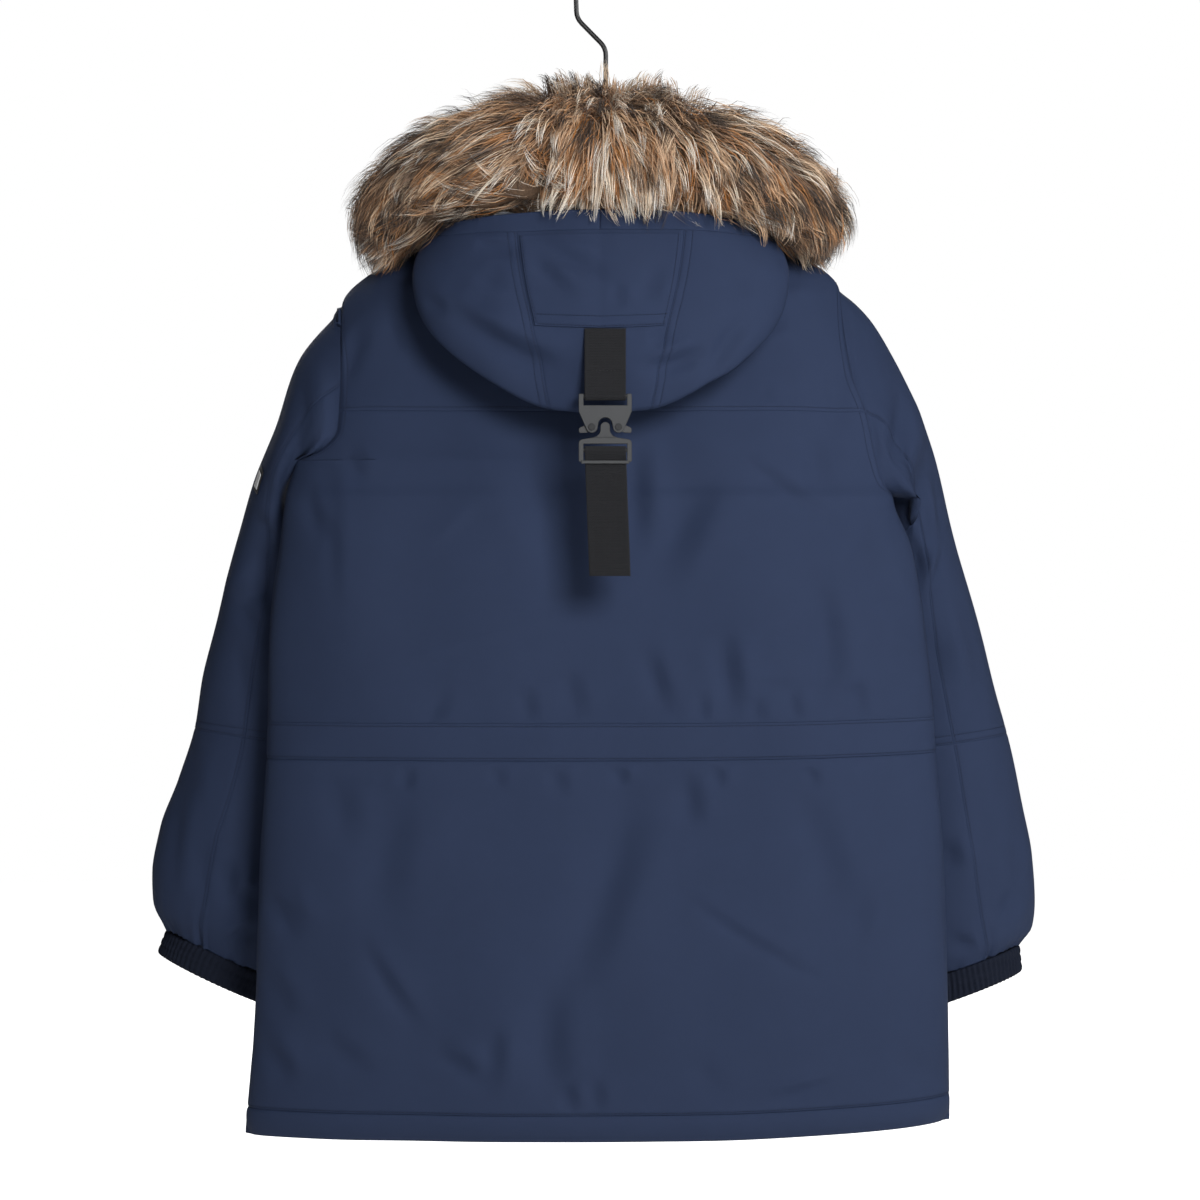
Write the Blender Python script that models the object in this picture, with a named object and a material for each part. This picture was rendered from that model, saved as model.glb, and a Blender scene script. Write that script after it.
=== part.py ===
"""A padded parka with a fur-trimmed hood, zipped up and hanging on a coat hanger.

Metres in the scene, +Z up. The origin is the top of the inside of the hanger's hook, where a rail
carries it. The coat's back faces +Y, its zip faces -Y and the wearer's left is +X. The sizes below
are millimetres in the coat's own frame, whose middle is CENTRE_X beside the hook.
"""

import math
from collections import namedtuple

import bmesh
import bpy
import numpy as np
from mathutils.geometry import tessellate_polygon

MM = 0.001
CENTRE_X = 5.5  # the coat hangs this far to the wearer's left of its hook

# ---- cloth and seams ----
WALL = 4.0  # shell, filling and lining together
PATCH_WALL = 1.2
SEAM_GAP = 0.3
LAY_GAP = 0.4  # between a panel and what is sewn on it

# ---- torso ----
HEM_Z = -1120.0
BAND_Z = -1094.0
CASING_LOW_Z = -761.0
CASING_TOP_Z = -726.0
YOKE_Z = -432.0
ROUNDNESS = 2.3  # exponent of the oval that a level cut through the torso makes
SHOULDER_ROUND = 70.0  # how far below the shoulder line the torso reaches its full depth
NECK_HALF = 95.0
NECK_BACK = 60.0
NECK_FRONT = 60.0
NECK_Y = 3.0
NECK_U = 0.3  # share of a half row that ends on the neckline
ZIP_HALF = 9.0  # half of the space between the two fronts
COLUMNS = 20

Level = namedtuple("Level", "z left right side_y back front")
TORSO = (
    Level(-1120, 340, 335, 8, 76, 68),
    Level(-1060, 334, 334, 9, 78, 70),
    Level(-960, 328, 332, 11, 78, 72),
    Level(-870, 326, 329, 12, 77, 72),
    Level(-760, 319, 321, 14, 74, 70),
    Level(-726, 318, 319, 15, 73, 70),
    Level(-650, 316, 312, 17, 74, 72),
    Level(-605, 313, 306, 18, 74, 72),
    Level(-558, 306, 296, 19, 73, 71),
    Level(-516, 300, 280, 20, 72, 69),
    Level(-478, 289, 277, 20, 71, 67),
    Level(-430, 283, 274, 17, 70, 64),
    Level(-380, 277, 267, 10, 68, 61),
    Level(-330, 272, 262, 3, 66, 60),
)
Armhole = namedtuple("Armhole", "z left right")
ARMHOLE = (
    Armhole(-520, 400, 400),
    Armhole(-512, 400, 286),
    Armhole(-500, 400, 270),
    Armhole(-478, 289, 263),
    Armhole(-466, 262, 260),
    Armhole(-450, 249, 257),
    Armhole(-430, 247, 252),
    Armhole(-398, 246, 240),
    Armhole(-345, 247, 231),
    Armhole(-314, 248, 229),
)
UNDERARM_Z = {"left": -478.0, "right": -512.0}
ARMHOLE_LEVELS = (-512.0, -495.0, -478.0, -463.0, -448.0)  # rows below the yoke that armholes use
YOKE_STEPS = 4
ROW_STEP = 0.12  # share of the way from hem to yoke between other rows
Ridge = namedtuple("Ridge", "x z")
SHOULDER = (
    Ridge(0, -238),
    Ridge(60, -242),
    Ridge(95, -250),
    Ridge(150, -268),
    Ridge(190, -285),
    Ridge(224, -309),
    Ridge(250, -331),
)
Lift = namedtuple("Lift", "z right")
HEM_LIFT = (Lift(-1120, 13), Lift(-760, 6), Lift(-600, 0), Lift(-240, 0))

# ---- sleeves ----
Ring = namedtuple("Ring", "outer_x outer_z inner_x inner_z y depth")
LEFT_SLEEVE = (
    Ring(248, -330, 289, -478, 18, 42),
    Ring(287, -381, 303, -484, 6, 50),
    Ring(309, -441, 306, -508, -18, 52),
    Ring(337, -498, 296, -545, -46, 54),
    Ring(353, -551, 280, -590, -62, 57),
    Ring(372, -623, 268, -650, -72, 60),
    Ring(391, -688, 263, -708, -80, 61),
    Ring(398, -736, 262, -754, -84, 61),
    Ring(414, -785, 262, -808, -87, 62),
    Ring(434, -832, 263, -864, -90, 63),
    Ring(442, -875, 267, -918, -92, 63),
    Ring(440, -905, 281, -955, -93, 58),
    Ring(427, -932, 304, -984, -94, 46),
)
RIGHT_SLEEVE = (
    Ring(229, -314, 286, -512, 18, 44),
    Ring(258, -341, 286, -518, 4, 48),
    Ring(298, -405, 290, -546, -24, 52),
    Ring(321, -460, 284, -568, -50, 55),
    Ring(341, -533, 282, -600, -62, 57),
    Ring(360, -599, 272, -650, -72, 60),
    Ring(384, -685, 265, -710, -80, 61),
    Ring(400, -741, 262, -760, -84, 61),
    Ring(413, -797, 262, -822, -87, 62),
    Ring(425, -859, 264, -890, -91, 62),
    Ring(427, -906, 272, -940, -93, 60),
    Ring(425, -931, 284, -966, -94, 55),
    Ring(414, -947, 298, -985, -94, 46),
)
LEFT_CUFF = (
    Ring(426, -933, 305, -986, -94, 44),
    Ring(432, -945, 311, -999, -95, 43),
    Ring(436, -957, 317, -1012, -96, 42),
)
RIGHT_CUFF = (
    Ring(413, -949, 299, -987, -94, 44),
    Ring(415, -962, 300, -1002, -95, 43),
    Ring(416, -975, 301, -1017, -96, 42),
)
ELBOW_RING = 7
SLEEVE_STARTS = (0.0, 0.5, 1.0, 1.5, 2.0)  # rows near the armhole, in rings
SLEEVE_SEAM = {"left": 3, "right": 4}  # column of the back seam, counted from the outer side
CUFF_WALL = 3.5
CUFF_SIDES = 16
SEAM_SWING = (16.0, -9.0)  # degrees by which that seam leaves its column, at shoulder and cuff
SLEEVE_CLEARANCE = 3.0
BESIDE_Z = -430.0  # below it the sleeve is kept beside the torso, fully so from BESIDE_FADE on
BESIDE_FADE = 40.0

# ---- hood, in half-planes around the neck: angle from the middle of the back ----
Profile = namedtuple(
    "Profile", "angle edge_r edge_z belly_r belly_z fold_r fold_z under_r under_z"
)
HOOD = (
    Profile(0, 118, -247, 152, -345, 134, -440, 110, -350),
    Profile(20, 126, -248, 158, -343, 140, -434, 116, -346),
    Profile(40, 148, -251, 178, -334, 166, -405, 136, -334),
    Profile(60, 166, -257, 199, -310, 188, -352, 152, -306),
    Profile(80, 150, -246, 162, -260, 158, -272, 138, -270),
    Profile(100, 138, -242, 142, -254, 138, -266, 124, -268),
    Profile(125, 114, -240, 113, -252, 107, -264, 96, -272),
    Profile(150, 92, -238, 90, -254, 85, -268, 78, -278),
    Profile(180, 78, -238, 77, -254, 74, -268, 70, -280),
)
PROFILE_STOPS = (0.0, 0.3, 0.56, 0.76, 0.93, 1.0)  # edge, belly, fold, under, stand, neck seam
STAND = 9.0  # height that the hood rises from the neck seam before it falls over
HOOD_ROWS = 13  # from the edge band to NECK_BEND, below which NECK_ROWS follow
NECK_BEND = 0.86
NECK_ROWS = (0.895, 0.93, 0.955, 0.98, 1.0)
HOOD_COLUMNS = 24
PANEL_ANGLE = (34.0, 19.0)  # half angle of the centre panel at the edge and at the fold
PANEL_U = 0.25
EDGE_BAND = 0.06  # share of the profile that the band along the opening takes
HOOD_CLEARANCE = 2.0
RIDGE_CLEARANCE = 4.0  # more of it over the shoulder line, which is round
RIDGE_SPREAD = 30.0
HOOD_WALL = 3.0
PATCH_TOP = 0.075
PATCH_LOW = 0.338
PATCH_SHARE = 0.97  # of the centre panel's width

# ---- fur trim ----
Fur = namedtuple("Fur", "angle r z half_r half_z")
FUR = (
    Fur(0, 106, -186, 48, 58),
    Fur(25, 122, -187, 48, 56),
    Fur(45, 160, -199, 45, 50),
    Fur(60, 190, -218, 42, 44),
    Fur(80, 203, -244, 36, 38),
    Fur(100, 194, -244, 35, 37),
    Fur(125, 163, -240, 34, 36),
    Fur(150, 138, -236, 31, 34),
)
FUR_SIDES = 12
FUR_STEPS = 24

# ---- strap, down the middle of the hood and the back ----
STRAP_X = -4.8
STRAP_SLANT = -4.3  # how far its free end hangs to the wearer's right
STRAP_HALF = 19.0
STRAP_WALL = 1.5
STRAP_Y = 156.0  # middle of the buckle
STRAP_END_Z = -588.0
UPPER_FOLD_Z = -386.0  # end of the turned-back layer of the upper strap
LAYER_OFFSET = 0.95  # of each layer of the lower strap from the middle between them
TURN_STEPS = 8
STRAP_RUSH = 1.3  # the strap reaches the depth of its buckle this much before the bar
FOLD_STOPS = (0.4, 0.7, 1.0)  # rows of the turned-back layer, as shares of its length

# ---- buckle, from its own middle and the top of its arms ----
BUCKLE_TOP_Z = -420.6
BUCKLE_HALF = 24.4
ARM_INNER = 19.95
ARM_LOW = -10.6  # below it the receiver is whole between its arms
SIDE_LOW = -16.2  # where the sides start to taper
LOBE_X = 12.3
LOBE_Z = -30.6
LOBE_R = 5.3
LOBE_RISE = 0.5  # from the lobe's middle up to the start of the notch
CORNER_R = 1.2
NOTCH_HALF = 6.5
NOTCH_Z = -28.4
BAR_Z = -2.3
BAR_R = 2.1
PLATE_NEAR = 1.5  # from the middle plane to each plate's inner and outer face
PLATE_FAR = 3.3
MIDDLE_HALF = 1.2  # tongue and levers, between the plates
BLOCK_IN = 0.25  # the blocks that join the plates stand back from their edges, and reach into them
BLOCK_OUT = 0.65
BAR_SEAT = 2.0  # how far a bar's ends reach into the arms
BEVEL = 0.45
SHAFT_R = 1.5
HEAD_R = 3.2
HEAD_WALL = 0.8
TONGUE_HALF = 4.4
TONGUE_TOP = -25.9
FRAME_INNER = 20.0
FRAME_TOP = -46.1
FRAME_LOW = -62.7
LOOP_BAR_Z = -51.9
LOOP_BAR_R = 2.0
EDGE_BAR = (-61.3, -64.3)
EDGE_DEPTH = (2.1, 3.9)
ROOT_LOW = -44.8  # how far the tongue's plate runs down into the frame
Spot = namedtuple("Spot", "x z")
FLARE = (Spot(TONGUE_HALF, -34), Spot(5.4, -36.6), Spot(7.6, -38.8), Spot(11.7, -40.3))
FRAME_SHOULDER = (Spot(21.6, -41.9), Spot(23.6, -43.0), Spot(BUCKLE_HALF, -45.0))
LEVER_R = 4.4
LEVER_SWEEP = (45, 300)  # degrees of its round end
LEVER_TAB = (Spot(17.2, -35.8), Spot(23.2, -36.0), Spot(24.2, -34.8), Spot(24.2, -32.0), Spot(23.0, -30.8))

# ---- zip ----
CHAIN_HALF = 3.2
CHAIN_RISE = 0.6
CHAIN_WALL = 2.4
TAPE_NEAR = 3.6
TAPE_DROP = 0.8  # below the face of the fronts
TAPE_WALL = 1.0
TAPE_TOP_V = 0.02
CHAIN_TOP_V = 0.14
SLIDER_HALF = 4.8
SLIDER_LOW = -8.0
SLIDER_HIGH = 4.2
PIN_OUT = 4.6  # pull tab's pin, out from the fronts' face and up from the end of the chain
PIN_UP = -1.2
PIN_R = 1.0
EYE_R = 1.3
TAB_R = 2.2
TAB_HALF = 4.0
TAB_LENGTH = 36.0
TAB_WALL = 1.4
SLIDER_PLATE = (
    Spot(SLIDER_HALF - 1.2, SLIDER_HIGH),
    Spot(SLIDER_HALF, SLIDER_HIGH - 1.6),
    Spot(SLIDER_HALF, -3.0),
    Spot(SLIDER_HALF - 1.4, SLIDER_LOW),
)
SLIDER_TOP = (1.1, 2.4)  # the slider's two plates, out from the fronts' face
SLIDER_UNDER = (-3.6, -2.3)
POST_HALF = 1.0
BAR_LAP = 0.4
Ear = namedtuple("Ear", "out half")
EAR = (Ear(1.9, 2.2), Ear(PIN_OUT, 1.7), Ear(PIN_OUT + 1.2, 0.8))  # each of the two that hold the pin
EAR_NEAR = 2.3
EAR_FAR = 3.4
EYE_HALF = 2.0
TAB_PLATE = (
    Spot(EYE_HALF - 0.1, -1.6),
    Spot(EYE_HALF - 0.1, -3.4),
    Spot(TAB_HALF, -7.0),
    Spot(TAB_HALF, 2 - TAB_LENGTH),
    Spot(TAB_HALF - 2, -TAB_LENGTH),
)
GRIP_TOP = 12 - TAB_LENGTH
GRIP_LOW = 4 - TAB_LENGTH

# ---- sleeve badge, as shares of one facet of the left sleeve ----
BADGE_RINGS = (2.6, 3.0)
BADGE_FACET = 1  # which facet round the sleeve, from the outer side over the back
BADGE_COLUMNS = (0.25, 0.95)
BADGE_WALL = 1.0

# ---- hanger ----
Arm = namedtuple("Arm", "x top half_z half_y")
HANGER = (
    Arm(0, -206, 14, 9),
    Arm(40, -221, 13, 10),
    Arm(68, -246, 9, 12),
    Arm(85, -261, 8, 12),
    Arm(115, -269, 10, 13),
    Arm(150, -280, 11, 14),
    Arm(190, -298, 11, 12),
    Arm(212, -313, 9, 9),
    Arm(218, -319, 3, 4),
)
HANGER_SIDES = 12
HANGER_STEPS = 20
WIRE_R = 2.3
HOOK_R = 28.8
HOOK_TIP = 184.0  # degrees round the hook from the wearer's left
HOOK_LOW_Z = -51.5
NECK_WIRE_Z = -80.0
WIRE_BEND = 7.0
WIRE_SIDES = 10


# ---------------------------------------------------------------- small tools
def smooth(x, xs, ys):
    """A curve through the points (xs, ys), with no overshoot between them."""
    xs = np.asarray(xs, float)
    ys = np.asarray(ys, float)
    slopes = np.diff(ys) / np.diff(xs)
    before = slopes[:-1]
    after = slopes[1:]
    inner = np.where(before * after > 0, 2 * before * after / (before + after + 1e-12), 0.0)
    tangents = np.concatenate([slopes[:1], inner, slopes[-1:]])
    x = np.clip(np.asarray(x, float), xs[0], xs[-1])
    k = np.clip(np.searchsorted(xs, x, side="right") - 1, 0, len(xs) - 2)
    step = xs[k + 1] - xs[k]
    t = (x - xs[k]) / step
    return (
        ys[k] * (1 + 2 * t) * (1 - t) ** 2
        + tangents[k] * step * t * (1 - t) ** 2
        + ys[k + 1] * t * t * (3 - 2 * t)
        + tangents[k + 1] * step * t * t * (t - 1)
    )


def column(table, key, name, at):
    """The value of one named column of a table, read smoothly at places along its key column."""
    rows = sorted(table, key=lambda row: getattr(row, key))
    return smooth(at, [getattr(r, key) for r in rows], [getattr(r, name) for r in rows])


def ease(t):
    t = np.clip(t, 0, 1)
    return t * t * (3 - 2 * t)


def unit(v):
    return v / np.maximum(np.linalg.norm(v, axis=-1, keepdims=True), 1e-9)


# ---------------------------------------------------------------- torso surface
def by_side(table, key, u, at):
    """A column pair left and right, chosen by the side that u is on."""
    return np.where(u >= 0, column(table, key, "left", at), column(table, key, "right", at))


def ridge_z(x):
    return column(SHOULDER, "x", "z", np.abs(x))


def shoulder_cover(x, z):
    """From 0 on the shoulder line to 1 where the torso has its full depth."""
    t = np.clip((ridge_z(x) - z) / SHOULDER_ROUND, 0, 1)
    return np.sqrt(1 - (1 - t) ** 2)


def torso_y(face, x, z):
    """Y of the torso's back (face 1) or front (face -1) at a place seen from behind."""
    half = by_side(TORSO, "z", x, z)
    flat = np.clip(np.abs(x) / half, 0, 1)
    across = (1 - flat**ROUNDNESS) ** (1 / ROUNDNESS)
    depth = column(TORSO, "z", "back" if face > 0 else "front", z)
    return column(TORSO, "z", "side_y", z) + face * depth * across * shoulder_cover(x, z)


def top_edge(face, u):
    """X and Z of the upper edge: the neckline in the middle, the shoulder line beside it."""
    across = np.abs(u)
    tip = np.where(u >= 0, ARMHOLE[-1].left, ARMHOLE[-1].right)
    neck_x = NECK_HALF * np.sin(np.minimum(across / NECK_U, 1) * math.pi / 2)
    shoulder_x = NECK_HALF + (tip - NECK_HALF) * (across - NECK_U) / (1 - NECK_U)
    x = np.where(across < NECK_U, neck_x, shoulder_x)
    reach = NECK_BACK if face > 0 else NECK_FRONT
    full = np.maximum(np.abs(torso_y(face, x, -320.0) - NECK_Y), 1)
    share = np.clip(reach * np.sqrt(np.clip(1 - (x / NECK_HALF) ** 2, 0, 1)) / full, 0, 0.97)
    z = ridge_z(x) - SHOULDER_ROUND * (1 - np.sqrt(1 - share**2))
    return np.sign(u) * x, z


def torso(face, u, q):
    """Outer surface: u from -1 (right seam) to 1 (left seam), q 0 hem, 1 yoke seam, 2 upper edge."""
    u, q = np.broadcast_arrays(np.asarray(u, float), np.asarray(q, float))
    z = HEM_Z + (YOKE_Z - HEM_Z) * np.minimum(q, 1)
    half = by_side(TORSO, "z", u, z)
    arm = np.minimum(by_side(ARMHOLE, "z", u, z), half)
    swing = np.arcsin(np.clip(arm / half, 0, 1) ** (ROUNDNESS / 2))
    x = np.sign(u) * half * np.sin(np.abs(u) * swing) ** (2 / ROUNDNESS)
    rise = np.clip(q - 1, 0, 1)
    edge_x, edge_z = top_edge(face, u)
    z = np.where(q > 1, z + rise * (edge_z - YOKE_Z), z)
    seam = by_side(ARMHOLE, "z", u, z)
    straight = by_side(ARMHOLE, "z", u, YOKE_Z) * (1 - rise) + np.abs(edge_x) * rise
    bend = np.where(q > 1, np.abs(u) ** 6 * (seam - straight) * np.sign(u), 0)
    x = x + rise * (edge_x - x) + bend
    y = torso_y(face, x, z)
    lift = column(HEM_LIFT, "z", "right", z) * ease(-u)
    return np.stack([x, y, z + lift], -1)


def torso_beyond(face, u, q):
    """The torso surface, going on over the side seams and the shoulder line to the other face."""
    u, q = np.broadcast_arrays(np.asarray(u, float), np.asarray(q, float))
    level = HEM_Z + (YOKE_Z - HEM_Z) * np.clip(q, 0, 1)
    under = np.where(u >= 0, UNDERARM_Z["left"], UNDERARM_Z["right"])
    over_side = (np.abs(u) > 1) & (level <= under)
    over_top = (q > 2) & (np.abs(u) >= NECK_U - 1e-6)
    inner_u = np.where(np.abs(u) > 1, np.sign(u) * (2 - np.abs(u)), u)
    inner_u = np.where((np.abs(u) > 1) & ~over_side, np.clip(u, -1, 1), inner_u)
    inner_q = np.where(over_top, 4 - q, np.clip(q, 0, 2))
    here = torso(face, inner_u, inner_q)
    there = torso(-face, inner_u, inner_q)
    return np.where((over_side ^ over_top)[..., None], there, here)


def torso_normal(face, u, q):
    step = 1e-3
    across = torso_beyond(face, u + step, q) - torso_beyond(face, u - step, q)
    up = torso_beyond(face, u, q + step) - torso_beyond(face, u, q - step)
    return unit(np.cross(up, across)) * face


def row_of(z):
    return (z - HEM_Z) / (YOKE_Z - HEM_Z)


def upper_rows():
    """The torso rows on which the armholes have their points, from the lower underarm upwards."""
    below = [row_of(z) for z in ARMHOLE_LEVELS]
    return np.concatenate([below, np.linspace(1, 2, YOKE_STEPS + 1)])


def armhole_rows(side):
    rows = upper_rows()
    return rows[rows > row_of(UNDERARM_Z[side]) - 1e-6]


def armhole_loop(side):
    """Points and normals round an armhole: shoulder's end, down the back, underarm, up the front."""
    u = 1.0 if side == "left" else -1.0
    rows = armhole_rows(side)
    points = np.concatenate([torso(1, u, rows[::-1]), torso(-1, u, rows[1:-1])])
    normals = np.concatenate([torso_normal(1, u, rows[::-1]), torso_normal(-1, u, rows[1:-1])])
    return points, normals


def clear_of_torso(points, gap):
    """Moves points that are in the torso, or within the gap of it, out over its side."""
    x, y, z = np.moveaxis(points, -1, 0)
    half = by_side(TORSO, "z", x, z) + gap
    side_y = column(TORSO, "z", "side_y", z)
    back = column(TORSO, "z", "back", z) + gap
    front = column(TORSO, "z", "front", z) + gap
    hub = np.sign(x) * (half - front)
    run_x = x - hub
    run_y = y - side_y
    low = np.ones(x.shape)
    high = np.full(x.shape, 60.0)

    def outside(scale):
        far_x = np.abs(hub + run_x * scale) / half
        far_y = np.abs(run_y * scale) / np.where(run_y > 0, back, front)
        return far_x**ROUNDNESS + far_y**ROUNDNESS >= 1

    for _ in range(40):
        middle = (low + high) / 2
        out = outside(middle)
        high = np.where(out, middle, high)
        low = np.where(out, low, middle)
    scale = np.where(outside(np.ones(x.shape)), 1.0, high)
    return np.stack([hub + run_x * scale, side_y + run_y * scale, z], -1)


def above_torso(points, gap):
    """Moves points that are in the torso's back or shoulders up and out until they clear it."""
    x, y, z = np.moveaxis(points, -1, 0)
    face = np.where(y > NECK_Y, 1.0, -1.0)
    slope = np.clip((ridge_z(x) - z) / SHOULDER_ROUND, 0, 1) * math.pi / 2
    low = np.zeros(x.shape)
    high = np.full(x.shape, 120.0)

    def outside(run):
        new_y = y + face * np.sin(slope) * run
        new_z = z + np.cos(slope) * run
        full_z = np.minimum(new_z, ridge_z(x) - SHOULDER_ROUND)
        side_y = column(TORSO, "z", "side_y", new_z)
        back = torso_y(1, x, full_z) - side_y
        front = side_y - torso_y(-1, x, full_z)
        wide = np.abs(new_y - side_y) / (np.where(face > 0, back, front) + gap)
        tall = (new_z - ridge_z(x) + SHOULDER_ROUND) / (SHOULDER_ROUND + gap)
        return wide**2 + np.maximum(tall, 0) ** 2 >= 1

    for _ in range(40):
        middle = (low + high) / 2
        out = outside(middle)
        high = np.where(out, middle, high)
        low = np.where(out, low, middle)
    run = np.where(outside(np.zeros(x.shape)), 0.0, high)
    return np.stack([x, y + face * np.sin(slope) * run, z + np.cos(slope) * run], -1)


# ---------------------------------------------------------------- sleeve surface
def ring_points(table, t, angle):
    """Points of the oval rings of a sleeve or cuff: t counts rings, angle 0 is the outer side."""
    t, angle = np.broadcast_arrays(np.asarray(t, float), np.asarray(angle, float))
    stops = np.arange(len(table))
    at = {name: smooth(t, stops, [getattr(r, name) for r in table]) for name in Ring._fields}
    middle_x = (at["outer_x"] + at["inner_x"]) / 2
    middle_z = (at["outer_z"] + at["inner_z"]) / 2
    cos = np.cos(angle)
    x = middle_x + (at["outer_x"] - at["inner_x"]) / 2 * cos
    z = middle_z + (at["outer_z"] - at["inner_z"]) / 2 * cos
    return np.stack([x, at["y"] + at["depth"] * np.sin(angle), z], -1)


def sleeve_angles(side, t, last):
    """The angle of each sleeve column, where the back and front seams swing as they run down."""
    count = 2 * (len(armhole_rows(side)) - 1)
    angle = np.arange(count) * 2 * math.pi / count
    share = np.asarray(t, float) / last
    swing = np.radians(SEAM_SWING[0] + (SEAM_SWING[1] - SEAM_SWING[0]) * share)
    return angle[None, :] + swing[:, None] * np.sin(angle[None, :])


def mirrored(points, side):
    return points if side == "left" else points * np.array([-1.0, 1.0, 1.0])


def sleeve_grid(side, t):
    """Outer points of a sleeve, one row for each t, starting on the armhole."""
    table = LEFT_SLEEVE if side == "left" else RIGHT_SLEEVE
    t = np.asarray(t, float)
    last = len(table) - 1
    angles = sleeve_angles(side, t, last)
    points = ring_points(table, t[:, None], angles)
    loop, _ = armhole_loop(side)
    start = ring_points(table, 0.0, sleeve_angles(side, np.zeros(1), last))[0]
    blend = 1 - ease(t / 2.5)
    points = points + blend[:, None, None] * (mirrored(loop, side) - start)[None]
    free = clear_of_torso(points, SLEEVE_CLEARANCE)
    held = ease(t / 0.6)[:, None] * ease((BESIDE_Z - points[..., 2]) / BESIDE_FADE)
    return mirrored(points + held[..., None] * (free - points), side)


# ---------------------------------------------------------------- hood surface
def neck_seam(angle):
    """Points of the torso's neckline, on the straight stretches between its columns."""
    count = int(round(COLUMNS / 2 * NECK_U))
    turn = np.linspace(0, math.pi / 2, count + 1)
    knots = []
    for face, turns in ((1, turn), (-1, turn[::-1][1:])):
        x, z = top_edge(face, turns / (math.pi / 2) * NECK_U)
        knots.append(np.stack([x, torso_y(face, x, z), z], -1))
    knots = np.concatenate(knots)
    bearing = np.arctan2(knots[:, 0], knots[:, 1] - NECK_Y)
    at = np.abs(np.asarray(angle, float))
    found = [np.interp(at, bearing, knots[:, axis]) for axis in range(3)]
    return np.stack([found[0] * np.where(angle < 0, -1, 1), found[1], found[2]], -1)


def hood_angle(u, v):
    """The bearing of hood column u on row v: the centre panel narrows towards the fold."""
    panel = smooth(v, (0.0, 0.56, 1.0), (*PANEL_ANGLE, 40.0))
    across = np.abs(u)
    inside = panel * across / PANEL_U
    beside = panel + (180 - panel) * (across - PANEL_U) / (1 - PANEL_U)
    return np.radians(np.where(across < PANEL_U, inside, beside)) * np.where(u < 0, -1, 1)


def hood(u, v):
    """Outer surface of the hood: u from -1 to 1 round the neck, v 0 opening to 1 neck seam."""
    u, v = np.broadcast_arrays(np.asarray(u, float), np.asarray(v, float))
    angle = hood_angle(u, v)
    degrees = np.degrees(np.abs(angle))
    seam = neck_seam(angle)
    seam_r = np.hypot(seam[..., 0], seam[..., 1])
    places = ("edge", "belly", "fold", "under")
    radii = [column(HOOD, "angle", place + "_r", degrees) for place in places]
    levels = [column(HOOD, "angle", place + "_z", degrees) for place in places]
    r = through(v, [*radii, seam_r + STAND / 4, seam_r])
    z = through(v, [*levels, seam[..., 2] + STAND, seam[..., 2]])
    bearing = angle + (np.arctan2(seam[..., 0], seam[..., 1]) - angle) * ease((v - 0.8) / 0.2)
    points = np.stack([r * np.sin(bearing), r * np.cos(bearing), z], -1)
    gap = HOOD_CLEARANCE + HOOD_WALL * (1 - ease((v - 0.56) / 0.2))
    gap = gap + RIDGE_CLEARANCE * np.exp(-(((points[..., 1] - NECK_Y) / RIDGE_SPREAD) ** 2))
    free = above_torso(points, gap)
    return points + (free - points) * (1 - ease((v - 0.93) / 0.07))[..., None]


def through(v, values):
    """A Catmull-Rom curve through one value for each of PROFILE_STOPS, which may vary by column."""
    stops = np.array(PROFILE_STOPS)
    values = np.stack([np.broadcast_to(value, v.shape) for value in values], -1)
    ahead = (values[..., 2:] - values[..., :-2]) / (stops[2:] - stops[:-2])
    first = (values[..., 1:2] - values[..., 0:1]) / (stops[1] - stops[0])
    final = (values[..., -1:] - values[..., -2:-1]) / (stops[-1] - stops[-2])
    tangents = np.concatenate([first, ahead, final], -1)
    k = np.clip(np.searchsorted(stops, v, side="right") - 1, 0, len(stops) - 2)
    step = stops[k + 1] - stops[k]
    t = (v - stops[k]) / step

    def pick(table, index):
        return np.take_along_axis(table, index[..., None], -1)[..., 0]

    return (
        pick(values, k) * (1 + 2 * t) * (1 - t) ** 2
        + pick(tangents, k) * step * t * (1 - t) ** 2
        + pick(values, k + 1) * t * t * (3 - 2 * t)
        + pick(tangents, k + 1) * step * t * t * (t - 1)
    )


# ---------------------------------------------------------------- cloth solids
def grid_normals(points, around=False):
    """Normals of a grid whose rows run down and columns run to the surface's left, seen outside."""
    if around:
        across = np.roll(points, -1, 1) - np.roll(points, 1, 1)
    else:
        across = np.gradient(points, axis=1)
    down = np.gradient(points, axis=0)
    return unit(np.cross(across, down))


def drawn_back(points, top=True, low=True, first=True, last=True):
    """The grid with its edges pulled half a seam gap in, along the surface."""
    points = points.copy()
    half = SEAM_GAP / 2
    if top:
        points[0] += unit(points[1] - points[0]) * half
    if low:
        points[-1] += unit(points[-2] - points[-1]) * half
    if first:
        points[:, 0] += unit(points[:, 1] - points[:, 0]) * half
    if last:
        points[:, -1] += unit(points[:, -2] - points[:, -1]) * half
    return points


def mesh_object(name, points, faces, material, origin=(0.0, 0.0, 0.0)):
    """An object from points in the coat's frame. origin, in that frame too, is the object's own."""
    origin = np.asarray(origin, float)
    mesh = bpy.data.meshes.new(name)
    mesh.from_pydata([tuple(p) for p in (np.asarray(points, float) - origin) * MM], [], faces)
    shape = bmesh.new()
    shape.from_mesh(mesh)
    bmesh.ops.recalc_face_normals(shape, faces=shape.faces)
    bmesh.ops.triangulate(shape, faces=shape.faces)
    if shape.calc_volume(signed=True) < 0:
        bmesh.ops.reverse_faces(shape, faces=shape.faces)
    shape.to_mesh(mesh)
    shape.free()
    mesh.shade_smooth()
    mesh.set_sharp_from_angle(angle=math.radians(35))
    mesh.materials.append(material)
    obj = bpy.data.objects.new(name, mesh)
    obj.location = (origin + np.array([CENTRE_X, 0.0, 0.0])) * MM
    bpy.context.scene.collection.objects.link(obj)
    return obj


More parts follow.
